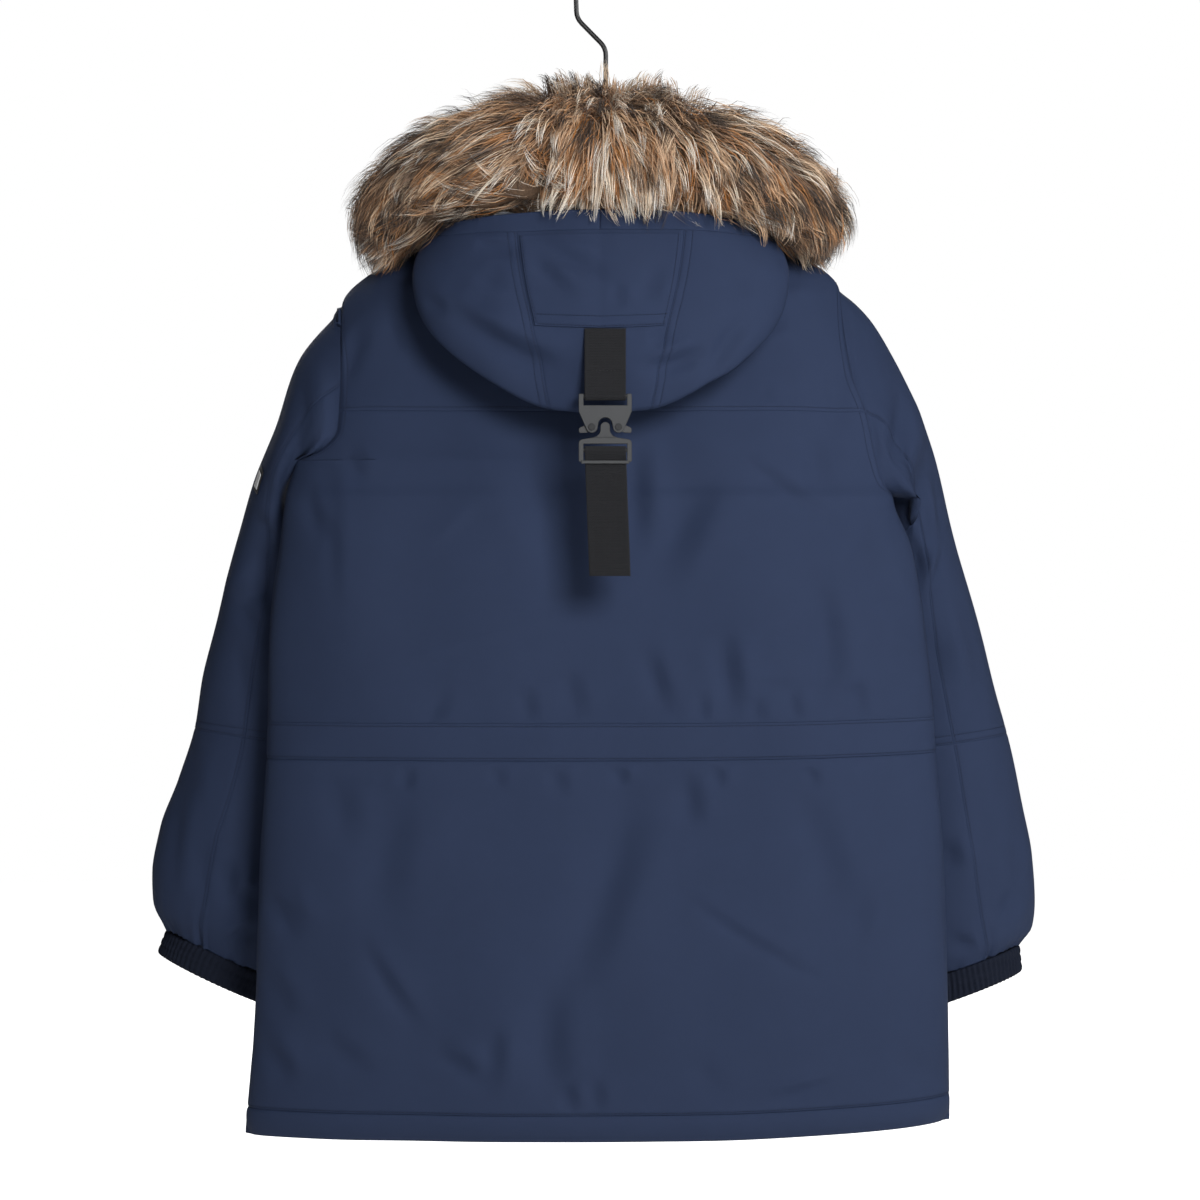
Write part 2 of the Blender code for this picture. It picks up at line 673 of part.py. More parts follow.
def wall_object(name, outer, inner, material, around=False):
    """A closed wall between two grids of the same shape. Around, the columns close into a tube."""
    rows, cols = outer.shape[:2]
    points = np.concatenate([outer.reshape(-1, 3), inner.reshape(-1, 3)])
    skin = rows * cols
    spans = cols if around else cols - 1

    def at(i, j, layer):
        return layer * skin + i * cols + j % cols

    faces = []
    for i in range(rows - 1):
        for j in range(spans):
            ring = (at(i, j, 0), at(i, j + 1, 0), at(i + 1, j + 1, 0), at(i + 1, j, 0))
            faces.append(ring)
            faces.append(tuple(k + skin for k in reversed(ring)))
    edges = [((0, j + 1), (0, j)) for j in range(spans)]
    edges += [((rows - 1, j), (rows - 1, j + 1)) for j in range(spans)]
    if not around:
        edges += [((i, 0), (i + 1, 0)) for i in range(rows - 1)]
        edges += [((i + 1, cols - 1), (i, cols - 1)) for i in range(rows - 1)]
    faces += [(at(*a, 0), at(*b, 0), at(*b, 1), at(*a, 1)) for a, b in edges]
    return mesh_object(name, points, faces, material)


def tube_object(name, rings, material):
    """A closed solid through rings of points, with flat ends."""
    rows, cols = rings.shape[:2]
    faces = [tuple(range(cols)), tuple(range((rows - 1) * cols, rows * cols))]
    for i in range(rows - 1):
        for j in range(cols):
            k = (j + 1) % cols
            faces.append((i * cols + j, i * cols + k, (i + 1) * cols + k, (i + 1) * cols + j))
    return mesh_object(name, rings.reshape(-1, 3), faces, material)


def material(name, colour, roughness, metallic=0.0):
    made = bpy.data.materials.new(name)
    made.use_nodes = True
    shader = made.node_tree.nodes["Principled BSDF"]
    shader.inputs["Base Color"].default_value = (*colour, 1.0)
    shader.inputs["Roughness"].default_value = roughness
    shader.inputs["Metallic"].default_value = metallic
    return made


def beside_zip(middle, near):
    """Points of a front's edge beside the zip, between its middle column and the next one."""
    share = (ZIP_HALF + SEAM_GAP / 2) / np.abs(near[:, 0])
    return middle + (near - middle) * share[:, None]


# ---------------------------------------------------------------- pieces
def torso_panel(name, face, us, qs, cloth, wall=WALL, zip_edge=None):
    """One cut piece of the torso. zip_edge names the column that stops beside the zip."""
    u, q = np.meshgrid(us, qs)
    outer = torso(face, u, q)
    normals = torso_normal(face, u, q)
    if zip_edge is not None:
        outer[:, zip_edge] = beside_zip(outer[:, zip_edge], outer[:, 1 if zip_edge == 0 else -2])
    rim = {"low": qs[-1] > 0, "first": zip_edge != 0, "last": zip_edge != -1}
    skins = [drawn_back(layer, **rim) for layer in (outer, outer - normals * wall)]
    return wall_object(name, *skins, cloth)


def panel_rows(low, high):
    """Rows between two seams from the top down: the armholes' own rows, and even ones elsewhere."""
    kept = [q for q in upper_rows() if low + 1e-6 < q < high - 1e-6]
    stops = [low, *kept, high]
    rows = [low]
    for a, b in zip(stops[:-1], stops[1:]):
        parts = max(1, int(round((b - a) / ROW_STEP))) if b <= 1 else 1
        rows.extend(np.linspace(a, b, parts + 1)[1:])
    return np.array(rows)[::-1]


def build_torso(cloth):
    rows = {
        "hem_band": (0.0, row_of(BAND_Z)),
        "skirt": (row_of(BAND_Z), row_of(CASING_LOW_Z)),
        "waist_casing": (row_of(CASING_LOW_Z), row_of(CASING_TOP_Z)),
        "panel": (row_of(CASING_TOP_Z), 1.0),
        "yoke": (1.0, 2.0),
    }
    us = np.linspace(1, -1, COLUMNS + 1)
    for piece, (low, high) in rows.items():
        torso_panel(f"back_{piece}", 1, us, panel_rows(low, high), cloth)
    half = COLUMNS // 2 + 1
    for side, across in (("left", np.linspace(0, 1, half)), ("right", np.linspace(-1, 0, half))):
        zip_edge = 0 if side == "left" else -1
        torso_panel(f"front_{side}", -1, across, panel_rows(row_of(BAND_Z), 2.0), cloth, WALL, zip_edge)
        band = panel_rows(0.0, row_of(BAND_Z))
        torso_panel(f"front_hem_band_{side}", -1, across, band, cloth, WALL, zip_edge)


def build_sleeve(side, cloth):
    """Outer and under sleeve, each above and below the elbow seam, and the gathered cuff."""
    table = LEFT_SLEEVE if side == "left" else RIGHT_SLEEVE
    last = len(table) - 1
    t = np.concatenate([SLEEVE_STARTS, np.arange(SLEEVE_STARTS[-1] + 1, last + 1)])
    outer = sleeve_grid(side, t)
    normals = grid_normals(outer, around=True)
    if side == "left":
        normals = -normals
    normals[0] = armhole_loop(side)[1]
    inner = outer - normals * WALL
    count = outer.shape[1]
    seam = SLEEVE_SEAM[side]
    elbow = int(np.argmin(np.abs(t - ELBOW_RING)))
    spans = {
        "upper": (0, elbow, -seam, seam),
        "lower": (elbow, len(t) - 1, -seam, seam),
        "under_upper": (0, elbow, seam, count - seam),
        "under_lower": (elbow, len(t) - 1, seam, count - seam),
    }
    for piece, (top, low, first, final) in spans.items():
        cols = np.arange(first, final + 1) % count
        skins = [drawn_back(layer[top : low + 1][:, cols]) for layer in (outer, inner)]
        wall_object(f"sleeve_{piece}_{side}", *skins, cloth)
    build_cuff(side, cloth)


def build_cuff(side, cloth):
    table = LEFT_CUFF if side == "left" else RIGHT_CUFF
    t = np.linspace(0, len(table) - 1, 2 * len(table) - 1)
    angles = np.arange(CUFF_SIDES) * 2 * math.pi / CUFF_SIDES
    outer = mirrored(ring_points(table, t[:, None], angles[None, :]), side)
    normals = grid_normals(outer, around=True)
    if side == "left":
        normals = -normals
    wall_object(f"cuff_{side}", outer, outer - normals * CUFF_WALL, cloth, around=True)


def hood_piece(name, us, vs, cloth, wall, lift=0.0, zip_edge=None, rim=None):
    """One piece of the hood between two grids that share the whole surface's normals."""
    step = 1e-3
    u, v = np.meshgrid(us, vs)
    low_v = np.maximum(v - step, 0)
    high_v = np.minimum(v + step, 1)
    across = hood(np.minimum(u + step, 1), v) - hood(np.maximum(u - step, -1), v)
    along = hood(u, high_v) - hood(u, low_v)
    normals = unit(np.cross(across, along))
    outer = hood(u, v) + normals * lift
    if zip_edge is not None:
        outer[:, zip_edge] = beside_zip(outer[:, zip_edge], outer[:, 1 if zip_edge == 0 else -2])
        normals[:, zip_edge, 0] = 0
    skins = [drawn_back(layer, **(rim or {})) for layer in (outer, outer - normals * wall)]
    return wall_object(name, *skins, cloth)


def hood_rows():
    return np.concatenate([np.linspace(EDGE_BAND, NECK_BEND, HOOD_ROWS), NECK_ROWS])


def build_hood(cloth):
    us = np.linspace(-1, 1, HOOD_COLUMNS + 1)
    vs = hood_rows()
    middle = np.abs(us) <= PANEL_U + 1e-6
    ends = {"left": (us >= PANEL_U - 1e-6, -1), "right": (us <= -PANEL_U + 1e-6, 0)}
    hood_piece("hood_centre", us[middle], vs, cloth, HOOD_WALL)
    for side, (cols, zip_edge) in ends.items():
        rim = {"first": side == "left", "last": side == "right"}
        hood_piece(f"hood_{side}", us[cols], vs, cloth, HOOD_WALL, zip_edge=zip_edge, rim=rim)
    for side, cols, zip_edge in (("left", us >= -1e-6, -1), ("right", us <= 1e-6, 0)):
        rim = {"first": side == "left", "last": side == "right"}
        band = np.array([0.0, EDGE_BAND])
        hood_piece(f"hood_band_{side}", us[cols], band, cloth, HOOD_WALL, zip_edge=zip_edge, rim=rim)
    across = us[middle]
    across[[0, -1]] *= PATCH_SHARE
    down = [PATCH_TOP, *vs[(vs > PATCH_TOP) & (vs < PATCH_LOW)], PATCH_LOW]
    hood_piece("hood_patch", across, down, cloth, PATCH_WALL, lift=LAY_GAP + PATCH_WALL)


def build_fur(fur):
    """A plain solid of the fur's reach, swept round the hood's opening and open at the chin."""
    end = FUR[-1].angle
    degrees = np.linspace(-end, end, FUR_STEPS + 1)
    angle = np.radians(degrees)[:, None]
    at = {name: column(FUR, "angle", name, np.abs(degrees))[:, None] for name in Fur._fields}
    turn = np.arange(FUR_SIDES)[None, :] * 2 * math.pi / FUR_SIDES
    r = at["r"] + at["half_r"] * np.cos(turn)
    z = at["z"] + at["half_z"] * np.sin(turn)
    tube_object("fur_trim", np.stack([r * np.sin(angle), r * np.cos(angle), z], -1), fur)


def build_badge(badge):
    """A small blank badge on the outside of the left sleeve, on one facet of it."""
    rings = sleeve_grid("left", np.array([2.0, 3.0]))[:, BADGE_FACET : BADGE_FACET + 2]
    across, down = np.meshgrid(BADGE_COLUMNS, np.array(BADGE_RINGS) - 2)
    top = rings[0, 0] + (rings[0, 1] - rings[0, 0]) * across[..., None]
    low = rings[1, 0] + (rings[1, 1] - rings[1, 0]) * across[..., None]
    face = top + (low - top) * down[..., None]
    normal = unit(np.cross(rings[1, 0] - rings[0, 0], rings[0, 1] - rings[0, 0]))
    inner = face + normal * 2 * LAY_GAP
    wall_object("sleeve_badge", inner + normal * BADGE_WALL, inner, badge)


# ---------------------------------------------------------------- hard pieces
def arc(x, z, r, start, stop, steps=6):
    """Points round (x, z), from one angle to another in degrees."""
    turn = np.radians(np.linspace(start, stop, steps + 1))
    return np.stack([x + r * np.cos(turn), z + r * np.sin(turn)], -1)


def circle(x, z, r, steps=16):
    return arc(x, z, r, 0, 360 - 360 / steps, steps - 1)


def inset(loop, by):
    """The loop moved inwards, or outwards where it is a hole."""
    before = unit(loop - np.roll(loop, 1, 0))
    after = unit(np.roll(loop, -1, 0) - loop)
    middle = unit(before + after)
    turn = np.maximum((middle * after).sum(-1), 0.4)
    side = np.stack([-middle[:, 1], middle[:, 0]], -1)
    ahead = np.roll(loop, -1, 0)
    area = (loop[:, 0] * ahead[:, 1] - loop[:, 1] * ahead[:, 0]).sum()
    return loop + side * np.sign(area) * by / turn[:, None]


def plate_mesh(loops, low, high, bevel=BEVEL):
    """Points and faces of a flat piece: the first loop is its outline, the others are its holes."""
    loops = [np.asarray(loop, float) for loop in loops]
    small = [inset(loop, bevel if i == 0 else -bevel) for i, loop in enumerate(loops)]
    layers = ((small, low), (loops, low + bevel), (loops, high - bevel), (small, high))
    flat = [np.insert(np.concatenate(at), 1, depth, axis=1) for at, depth in layers]
    count = len(flat[0])
    top = 3 * count
    faces = []
    for three in tessellate_polygon([[(x, z, 0.0) for x, z in loop] for loop in small]):
        faces.append(tuple(three))
        faces.append(tuple(k + top for k in reversed(three)))
    start = 0
    for loop in loops:
        for k in range(len(loop)):
            a = start + k
            b = start + (k + 1) % len(loop)
            for base in (0, count, 2 * count):
                faces.append((a + base, b + base, b + base + count, a + base + count))
        start += len(loop)
    return np.concatenate(flat), faces


def rod_mesh(centre_y, centre_z, r, low, high, steps=16, hole=None):
    """Points and faces of a round bar along X."""
    loops = [circle(centre_y, centre_z, radius, steps) for radius in (r, hole) if radius]
    points, faces = plate_mesh(loops, low, high, 0.15)
    return points[:, [1, 0, 2]], faces


def joined(name, parts, material, origin=(0.0, 0.0, 0.0)):
    """One solid from overlapping ones, each given as points and faces."""
    made = [mesh_object(f"{name}_{i}", *part, material, origin) for i, part in enumerate(parts)]
    for other in made[1:]:
        union = made[0].modifiers.new("union", "BOOLEAN")
        union.operation = "UNION"
        union.solver = "EXACT"
        union.object = other
    bpy.context.view_layer.update()
    whole = made[0].evaluated_get(bpy.context.evaluated_depsgraph_get())
    mesh = bpy.data.meshes.new_from_object(whole)
    mesh.shade_smooth()
    mesh.set_sharp_from_angle(angle=math.radians(35))
    obj = bpy.data.objects.new(name, mesh)
    obj.location = made[0].location
    bpy.context.scene.collection.objects.link(obj)
    for part in made:
        bpy.data.objects.remove(part)
    return obj


def placed(part, x=0.0, y=0.0, z=0.0):
    points, faces = part
    return points + np.array([x, y, z]), faces


def both_sides(half):
    """A loop from its right half, given from the top down."""
    half = np.asarray(half, float)
    return np.concatenate([half, half[::-1] * np.array([-1.0, 1.0])])


def receiver_outline():
    """The plate of the buckle's receiver: arms above, lobes and a notch below."""
    reach = math.hypot(BUCKLE_HALF - LOBE_X, SIDE_LOW - LOBE_Z)
    lean = math.degrees(math.atan2(SIDE_LOW - LOBE_Z, BUCKLE_HALF - LOBE_X))
    tangent = lean - math.degrees(math.acos(LOBE_R / reach))
    lobe = arc(LOBE_X, LOBE_Z, LOBE_R, tangent, -180, 10)
    arch = arc(0, NOTCH_Z, NOTCH_HALF, 0, 90, 6)[:-1]
    corner = arc(BUCKLE_HALF - CORNER_R, -CORNER_R, CORNER_R, 90, 0, 3)
    half = [(ARM_INNER, ARM_LOW), (ARM_INNER, 0), *corner, (BUCKLE_HALF, SIDE_LOW), *lobe]
    half.append((LOBE_X - LOBE_R, LOBE_Z + LOBE_RISE))
    half.extend(arch)
    half = np.array([*half, (0.0, NOTCH_Z + NOTCH_HALF)])
    left = half[:-1][::-1] * np.array([-1.0, 1.0])
    return np.concatenate([half, left])


def build_receiver(metal):
    outline = receiver_outline()
    holes = [circle(side * LOBE_X, LOBE_Z, SHAFT_R + SEAM_GAP) for side in (1, -1)]
    arms = both_sides(
        [
            (ARM_INNER + BLOCK_IN, ARM_LOW - BLOCK_IN),
            (ARM_INNER + BLOCK_IN, -BLOCK_IN),
            (BUCKLE_HALF - BLOCK_IN, -BLOCK_IN),
            (BUCKLE_HALF - BLOCK_IN, SIDE_LOW),
        ]
    )
    parts = [
        plate_mesh([outline, *holes], PLATE_NEAR, PLATE_FAR),
        plate_mesh([outline, *holes], -PLATE_FAR, -PLATE_NEAR),
        plate_mesh([arms], -PLATE_NEAR - BLOCK_OUT, PLATE_NEAR + BLOCK_OUT, 0.1),
        rod_mesh(0, BAR_Z, BAR_R, -ARM_INNER - BAR_SEAT, ARM_INNER + BAR_SEAT),
    ]
    at = {"x": STRAP_X, "y": STRAP_Y, "z": BUCKLE_TOP_Z}
    joined("buckle_receiver", [placed(part, **at) for part in parts], metal)


def build_tongue(metal):
    root = (FLARE[-1].x, FLARE[-1].z)
    blade = arc(0, TONGUE_TOP - TONGUE_HALF, TONGUE_HALF, 90, 0, 6)
    middle = both_sides([*blade[1:], *[tuple(at) for at in FLARE], (root[0], ROOT_LOW)])
    middle = np.concatenate([[(0.0, TONGUE_TOP)], middle])
    frame = both_sides(
        [
            root,
            *[tuple(at) for at in FRAME_SHOULDER],
            (BUCKLE_HALF, FRAME_LOW + CORNER_R),
            (BUCKLE_HALF - CORNER_R, FRAME_LOW),
            (FRAME_INNER, FRAME_LOW),
            (FRAME_INNER, FRAME_TOP),
        ]
    )
    low, high = EDGE_BAR[1], EDGE_BAR[0]
    reach = FRAME_INNER + BAR_SEAT
    edge = np.array([(-reach, low), (reach, low), (reach, high), (-reach, high)])
    parts = [
        plate_mesh([frame], -PLATE_FAR, PLATE_FAR),
        plate_mesh([middle], -MIDDLE_HALF, MIDDLE_HALF, 0.3),
        rod_mesh(0, LOOP_BAR_Z, LOOP_BAR_R, -FRAME_INNER - BAR_SEAT, FRAME_INNER + BAR_SEAT),
        plate_mesh([edge], *EDGE_DEPTH, 0.4),
    ]
    at = {"x": STRAP_X, "y": STRAP_Y, "z": BUCKLE_TOP_Z}
    joined("buckle_tongue", [placed(part, **at) for part in parts], metal)


def build_levers(metal, rivet_metal):
    """The two side levers between the plates, each on its rivet."""
    for side, sign in (("left", 1), ("right", -1)):
        pivot = arc(LOBE_X, LOBE_Z, LEVER_R, *LEVER_SWEEP, 10)
        outline = np.concatenate([pivot, np.array(LEVER_TAB)]) * np.array([sign, 1.0])
        hole = circle(sign * LOBE_X, LOBE_Z, SHAFT_R + SEAM_GAP)
        at = np.array([STRAP_X, STRAP_Y, BUCKLE_TOP_Z])
        points, faces = plate_mesh([outline, hole], -MIDDLE_HALF, MIDDLE_HALF, 0.25)
        mesh_object(f"buckle_lever_{side}", points + at, faces, metal)
        shaft = circle(sign * LOBE_X, LOBE_Z, SHAFT_R)
        head = circle(sign * LOBE_X, LOBE_Z, HEAD_R)
        near = PLATE_FAR + SEAM_GAP
        parts = [
            plate_mesh([shaft], -near - 0.5, near + 0.5, 0.1),
            plate_mesh([head], near, near + HEAD_WALL, 0.25),
            plate_mesh([head], -near - HEAD_WALL, -near, 0.25),
        ]
        joined(f"buckle_rivet_{side}", [placed(part, *at) for part in parts], rivet_metal)


def ribbon(name, path, webbing, slant=None):
    """A strap along a path of (y, z), with half of its thickness on each side of it."""
    path = np.asarray(path, float)
    along = unit(np.gradient(path, axis=0))
    normal = np.stack([along[:, 1], -along[:, 0]], -1) * STRAP_WALL / 2
    shift = STRAP_X + (slant(path[:, 1]) if slant else 0 * path[:, 1])
    skins = []
    for layer in (path + normal, path - normal):
        sides = [np.insert(layer, 0, shift + x, axis=1) for x in (-STRAP_HALF, STRAP_HALF)]
        skins.append(np.stack(sides, 1))
    wall_object(name, *skins, webbing)


def build_strap(webbing):
    """The upper strap lies on the hood and loops under a bar; the lower one hangs over another."""
    top = hood(0.0, PATCH_LOW)
    start_y = top[1] + LAY_GAP + STRAP_WALL / 2
    start_z = top[2] - LAY_GAP
    r = BAR_R + SEAM_GAP + STRAP_WALL / 2
    bar_z = BUCKLE_TOP_Z + BAR_Z
    share = np.linspace(0, 1, 7)[:-1]
    down_y = start_y + (STRAP_Y + r - start_y) * ease(share * STRAP_RUSH)
    down = np.stack([down_y, start_z + (bar_z - start_z) * share], -1)
    turn = arc(STRAP_Y, bar_z, r, 0, -180, TURN_STEPS)
    up = [(STRAP_Y - r, bar_z + (UPPER_FOLD_Z - bar_z) * t) for t in FOLD_STOPS]
    ribbon("strap_upper", [*down, *turn, *up], webbing)

    r = LOOP_BAR_R + SEAM_GAP + STRAP_WALL / 2
    bar_z = BUCKLE_TOP_Z + LOOP_BAR_Z
    narrow_z = BUCKLE_TOP_Z + EDGE_BAR[0] + 2.5
    levels = np.linspace(narrow_z, STRAP_END_Z, 8)
    neck = [(r - (r - LAYER_OFFSET) * ease(t), bar_z + (narrow_z - bar_z) * t) for t in (0.33, 0.66)]
    side = np.array([*neck, *[(LAYER_OFFSET, z) for z in levels]])
    front = np.stack([STRAP_Y + side[:, 0], side[:, 1]], -1)
    behind = np.stack([STRAP_Y - side[:, 0], side[:, 1]], -1)
    turn = arc(STRAP_Y, bar_z, r, 0, 180, TURN_STEPS)
    ribbon(
        "strap_lower",
        [*front[::-1], *turn, *behind],
        webbing,
        lambda z: STRAP_SLANT * np.clip((z - bar_z) / (STRAP_END_Z - bar_z), 0, 1),
    )


# ---------------------------------------------------------------- zip
def zip_line(top_v):
    """Points up the middle of the front's face, from the hem to a place on the collar."""
    rows = [panel_rows(0.0, row_of(BAND_Z))[::-1], panel_rows(row_of(BAND_Z), 2.0)[::-1][1:]]
    q = np.concatenate(rows)
    step = 2 / COLUMNS
    front = beside_zip(torso(-1, 0.0, q), torso(-1, step, q))
    v = hood_rows()[::-1][1:]
    v = np.concatenate([v[v > top_v + 0.01], [top_v]])
    collar = beside_zip(hood(1.0, v), hood(1.0 - 2 / HOOD_COLUMNS, v))
    line = np.concatenate([front, collar])
    line[:, 0] = 0
    along = unit(np.gradient(line, axis=0))
    normal = np.stack([0 * line[:, 0], -along[:, 2], along[:, 1]], -1)
    return line, along, unit(normal)


def zip_strip(name, top_v, low_x, high_x, rise, wall, material):
    line, _, normal = zip_line(top_v)
    face = line + normal * rise
    back = face - normal * wall
    sides = np.array([[low_x, 0, 0], [high_x, 0, 0]])
    wall_object(name, face[:, None] + sides, back[:, None] + sides, material)


def build_zip(tape, chain, metal):
    tape_far = ZIP_HALF - SEAM_GAP / 2
    zip_strip("zip_tape_left", TAPE_TOP_V, TAPE_NEAR, tape_far, -TAPE_DROP, TAPE_WALL, tape)
    zip_strip("zip_tape_right", TAPE_TOP_V, -tape_far, -TAPE_NEAR, -TAPE_DROP, TAPE_WALL, tape)
    zip_strip("zip_chain", CHAIN_TOP_V, -CHAIN_HALF, CHAIN_HALF, CHAIN_RISE, CHAIN_WALL, chain)
    line, along, normal = zip_line(CHAIN_TOP_V)
    end, up, out = line[-1], along[-1], normal[-1]

    def on_collar(part):
        points, faces = part
        across = np.array([1.0, 0.0, 0.0])
        return end + points[:, :1] * across + points[:, 1:2] * out + points[:, 2:] * up, faces

    plate = both_sides([tuple(at) for at in SLIDER_PLATE])
    post = both_sides([(POST_HALF, SLIDER_HIGH - POST_HALF), (POST_HALF, POST_HALF)])
    ear = np.array([(at.out, PIN_UP + side * at.half) for side in (-1, 1) for at in EAR[::side]])
    parts = [
        plate_mesh([plate], *SLIDER_TOP, 0.25),
        plate_mesh([plate], *SLIDER_UNDER, 0.25),
        plate_mesh([post], SLIDER_UNDER[1] - BAR_LAP, SLIDER_TOP[0] + BAR_LAP, 0.05),
        rod_mesh(PIN_OUT, PIN_UP, PIN_R, -EAR_NEAR - BAR_LAP, EAR_NEAR + BAR_LAP),
    ]
    for low, high in ((EAR_NEAR, EAR_FAR), (-EAR_FAR, -EAR_NEAR)):
        points, faces = plate_mesh([ear], low, high, 0.15)
        parts.append((points[:, [1, 0, 2]], faces))
    joined("zip_slider", [on_collar(part) for part in parts], metal)
    pivot = end + out * PIN_OUT + up * PIN_UP
    tab = both_sides([tuple(at) for at in TAB_PLATE])
    grip = both_sides([(EYE_HALF, GRIP_TOP), (EYE_HALF, GRIP_LOW)])
    parts = [
        placed(rod_mesh(0, 0, TAB_R, -EYE_HALF, EYE_HALF, hole=EYE_R), *pivot),
        placed(plate_mesh([tab, grip], -TAB_WALL / 2, TAB_WALL / 2, 0.25), *pivot),
    ]
    joined("zip_pull_tab", parts, metal, origin=pivot)
    print("pull tab's pin, mm:", np.round(pivot + np.array([CENTRE_X, 0, 0]), 3))


# ---------------------------------------------------------------- hanger
def build_hanger(plastic, wire):
    """A plain shaped hanger inside the shoulders, and its hook."""
    x = np.linspace(-HANGER[-1].x, HANGER[-1].x, 2 * HANGER_STEPS + 1)
    at = {name: column(HANGER, "x", name, np.abs(x))[:, None] for name in Arm._fields}
    turn = np.arange(HANGER_SIDES)[None, :] * 2 * math.pi / HANGER_SIDES
    z = at["top"] - at["half_z"] + at["half_z"] * np.sin(turn)
    y = NECK_Y + at["half_y"] * np.cos(turn)
    tube_object("hanger_body", np.stack([np.broadcast_to(x[:, None], z.shape), y, z], -1), plastic)

    centre_z = WIRE_R - HOOK_R
    hook = arc(0, centre_z, HOOK_R, HOOK_TIP, 0, 24)
    bends = [(HOOK_R - 0.8, HOOK_LOW_Z), (0.0, NECK_WIRE_Z)]
    path = [*hook]
    stops = [tuple(hook[-1]), *bends, (0.0, HANGER[0].top + SEAM_GAP)]
    for before, corner, after in zip(stops[:-2], stops[1:-1], stops[2:]):
        corner = np.array(corner)
        first = corner + unit(np.array(before) - corner) * WIRE_BEND
        last = corner + unit(np.array(after) - corner) * WIRE_BEND
        for t in np.linspace(0, 1, 5):
            path.append((1 - t) ** 2 * first + 2 * t * (1 - t) * corner + t * t * last)
    path = np.array([*path, stops[-1]])
    along = unit(np.gradient(path, axis=0))
    side = np.stack([along[:, 1], 0 * along[:, 0], -along[:, 0]], -1)[:, None]
    middle = np.insert(path, 1, 0.0, axis=1)[:, None] - np.array([CENTRE_X, 0.0, 0.0])
    turn = (np.arange(WIRE_SIDES) * 2 * math.pi / WIRE_SIDES)[None, :, None]
    rings = middle + WIRE_R * (np.cos(turn) * side + np.sin(turn) * np.array([0.0, 1.0, 0.0]))
    tube_object("hanger_hook", rings, wire)


def main():
    for obj in list(bpy.data.objects):
        bpy.data.objects.remove(obj)
    cloth = material("shell_cloth", (0.030, 0.042, 0.082), 0.72)
    fur = material("fur", (0.30, 0.20, 0.12), 0.9)
    build_torso(cloth)
    for side in ("left", "right"):
        build_sleeve(side, cloth)
    build_hood(cloth)
    build_fur(fur)
    build_badge(material("badge", (0.035, 0.035, 0.038), 0.5))
    build_strap(material("webbing", (0.012, 0.012, 0.014), 0.75))
    buckle = material("buckle_metal", (0.045, 0.046, 0.050), 0.45, 0.6)
    build_receiver(buckle)
    build_tongue(buckle)
    build_levers(material("lever_metal", (0.22, 0.22, 0.23), 0.4, 0.8), buckle)
    tape = material("zip_tape", (0.025, 0.035, 0.065), 0.8)
    chain = material("zip_chain", (0.030, 0.032, 0.040), 0.45)
    build_zip(tape, chain, material("zip_metal", (0.05, 0.05, 0.055), 0.4, 0.7))
    wire = material("hook_wire", (0.010, 0.010, 0.010), 0.35)
    build_hanger(material("hanger_plastic", (0.014, 0.014, 0.015), 0.4), wire)


main()
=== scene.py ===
# %% [markdown]
# # A fur-trimmed parka on its hanger
# This lesson dresses a plain frame of solids as a winter coat. Each piece of cloth is a thin shell
# with its own folds, its own weave and its own row of stitches, as a maker would cut and sew it.
# The fur is real hair: short wool below, long guard hairs above. The buckle, the zip and the hanger
# keep the shapes of the frame and get better finishes.

import math
from collections import namedtuple

import bpy
import numpy as np
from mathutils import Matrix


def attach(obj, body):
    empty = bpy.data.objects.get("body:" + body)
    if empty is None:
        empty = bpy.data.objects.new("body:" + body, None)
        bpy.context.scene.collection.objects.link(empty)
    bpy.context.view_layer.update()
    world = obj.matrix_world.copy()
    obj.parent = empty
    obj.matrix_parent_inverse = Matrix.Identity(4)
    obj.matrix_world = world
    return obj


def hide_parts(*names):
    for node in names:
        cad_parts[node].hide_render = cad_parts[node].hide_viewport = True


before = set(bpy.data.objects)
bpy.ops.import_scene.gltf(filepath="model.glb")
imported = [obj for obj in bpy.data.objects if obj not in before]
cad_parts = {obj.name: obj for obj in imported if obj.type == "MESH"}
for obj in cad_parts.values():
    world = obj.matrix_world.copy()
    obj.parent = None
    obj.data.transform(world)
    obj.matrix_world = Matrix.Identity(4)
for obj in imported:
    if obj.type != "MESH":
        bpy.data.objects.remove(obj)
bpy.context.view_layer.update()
MM = 0.001
CENTRE_X = 5.5  # the coat hangs this many mm beside its hook
scene = bpy.context.scene

# %% [markdown]
# ## Camera, light and floor
# A coat is shown from straight in front of its widest side, from far enough away that the sleeves
# don't look larger than the back. A long lens does that. The main light is a soft box beside the
# eye, a little above it; a second one far out on the same side rakes over the cloth, so that the
# folds shade the cloth beside them. The room is pale to the eye and gives little light itself.

# %% Camera, light and floor
EYE = (CENTRE_X * MM, 3.6, -0.610)
LENS = 112.5
FLOOR_Z = -1.32
FLOOR_GLOW = 0.9  # lifts the far floor to the white of the room, for the eye only
SoftBox = namedtuple("SoftBox", "name place size watts")
LIGHTS = (
    SoftBox("key", (-1.05, 2.9, 0.6), 1.1, 92),
    SoftBox("side", (-2.6, 1.4, 0.8), 1.6, 30),
    SoftBox("front", (0.6, -3.0, 1.2), 2.4, 60),
)
ROOM = 0.10  # how much light the room gives, beside how white it looks


def aimed(obj, at):
    """Turns a camera or light towards a point."""
    direction = obj.location - type(obj.location)(at)
    obj.rotation_euler = direction.to_track_quat("Z", "Y").to_euler()


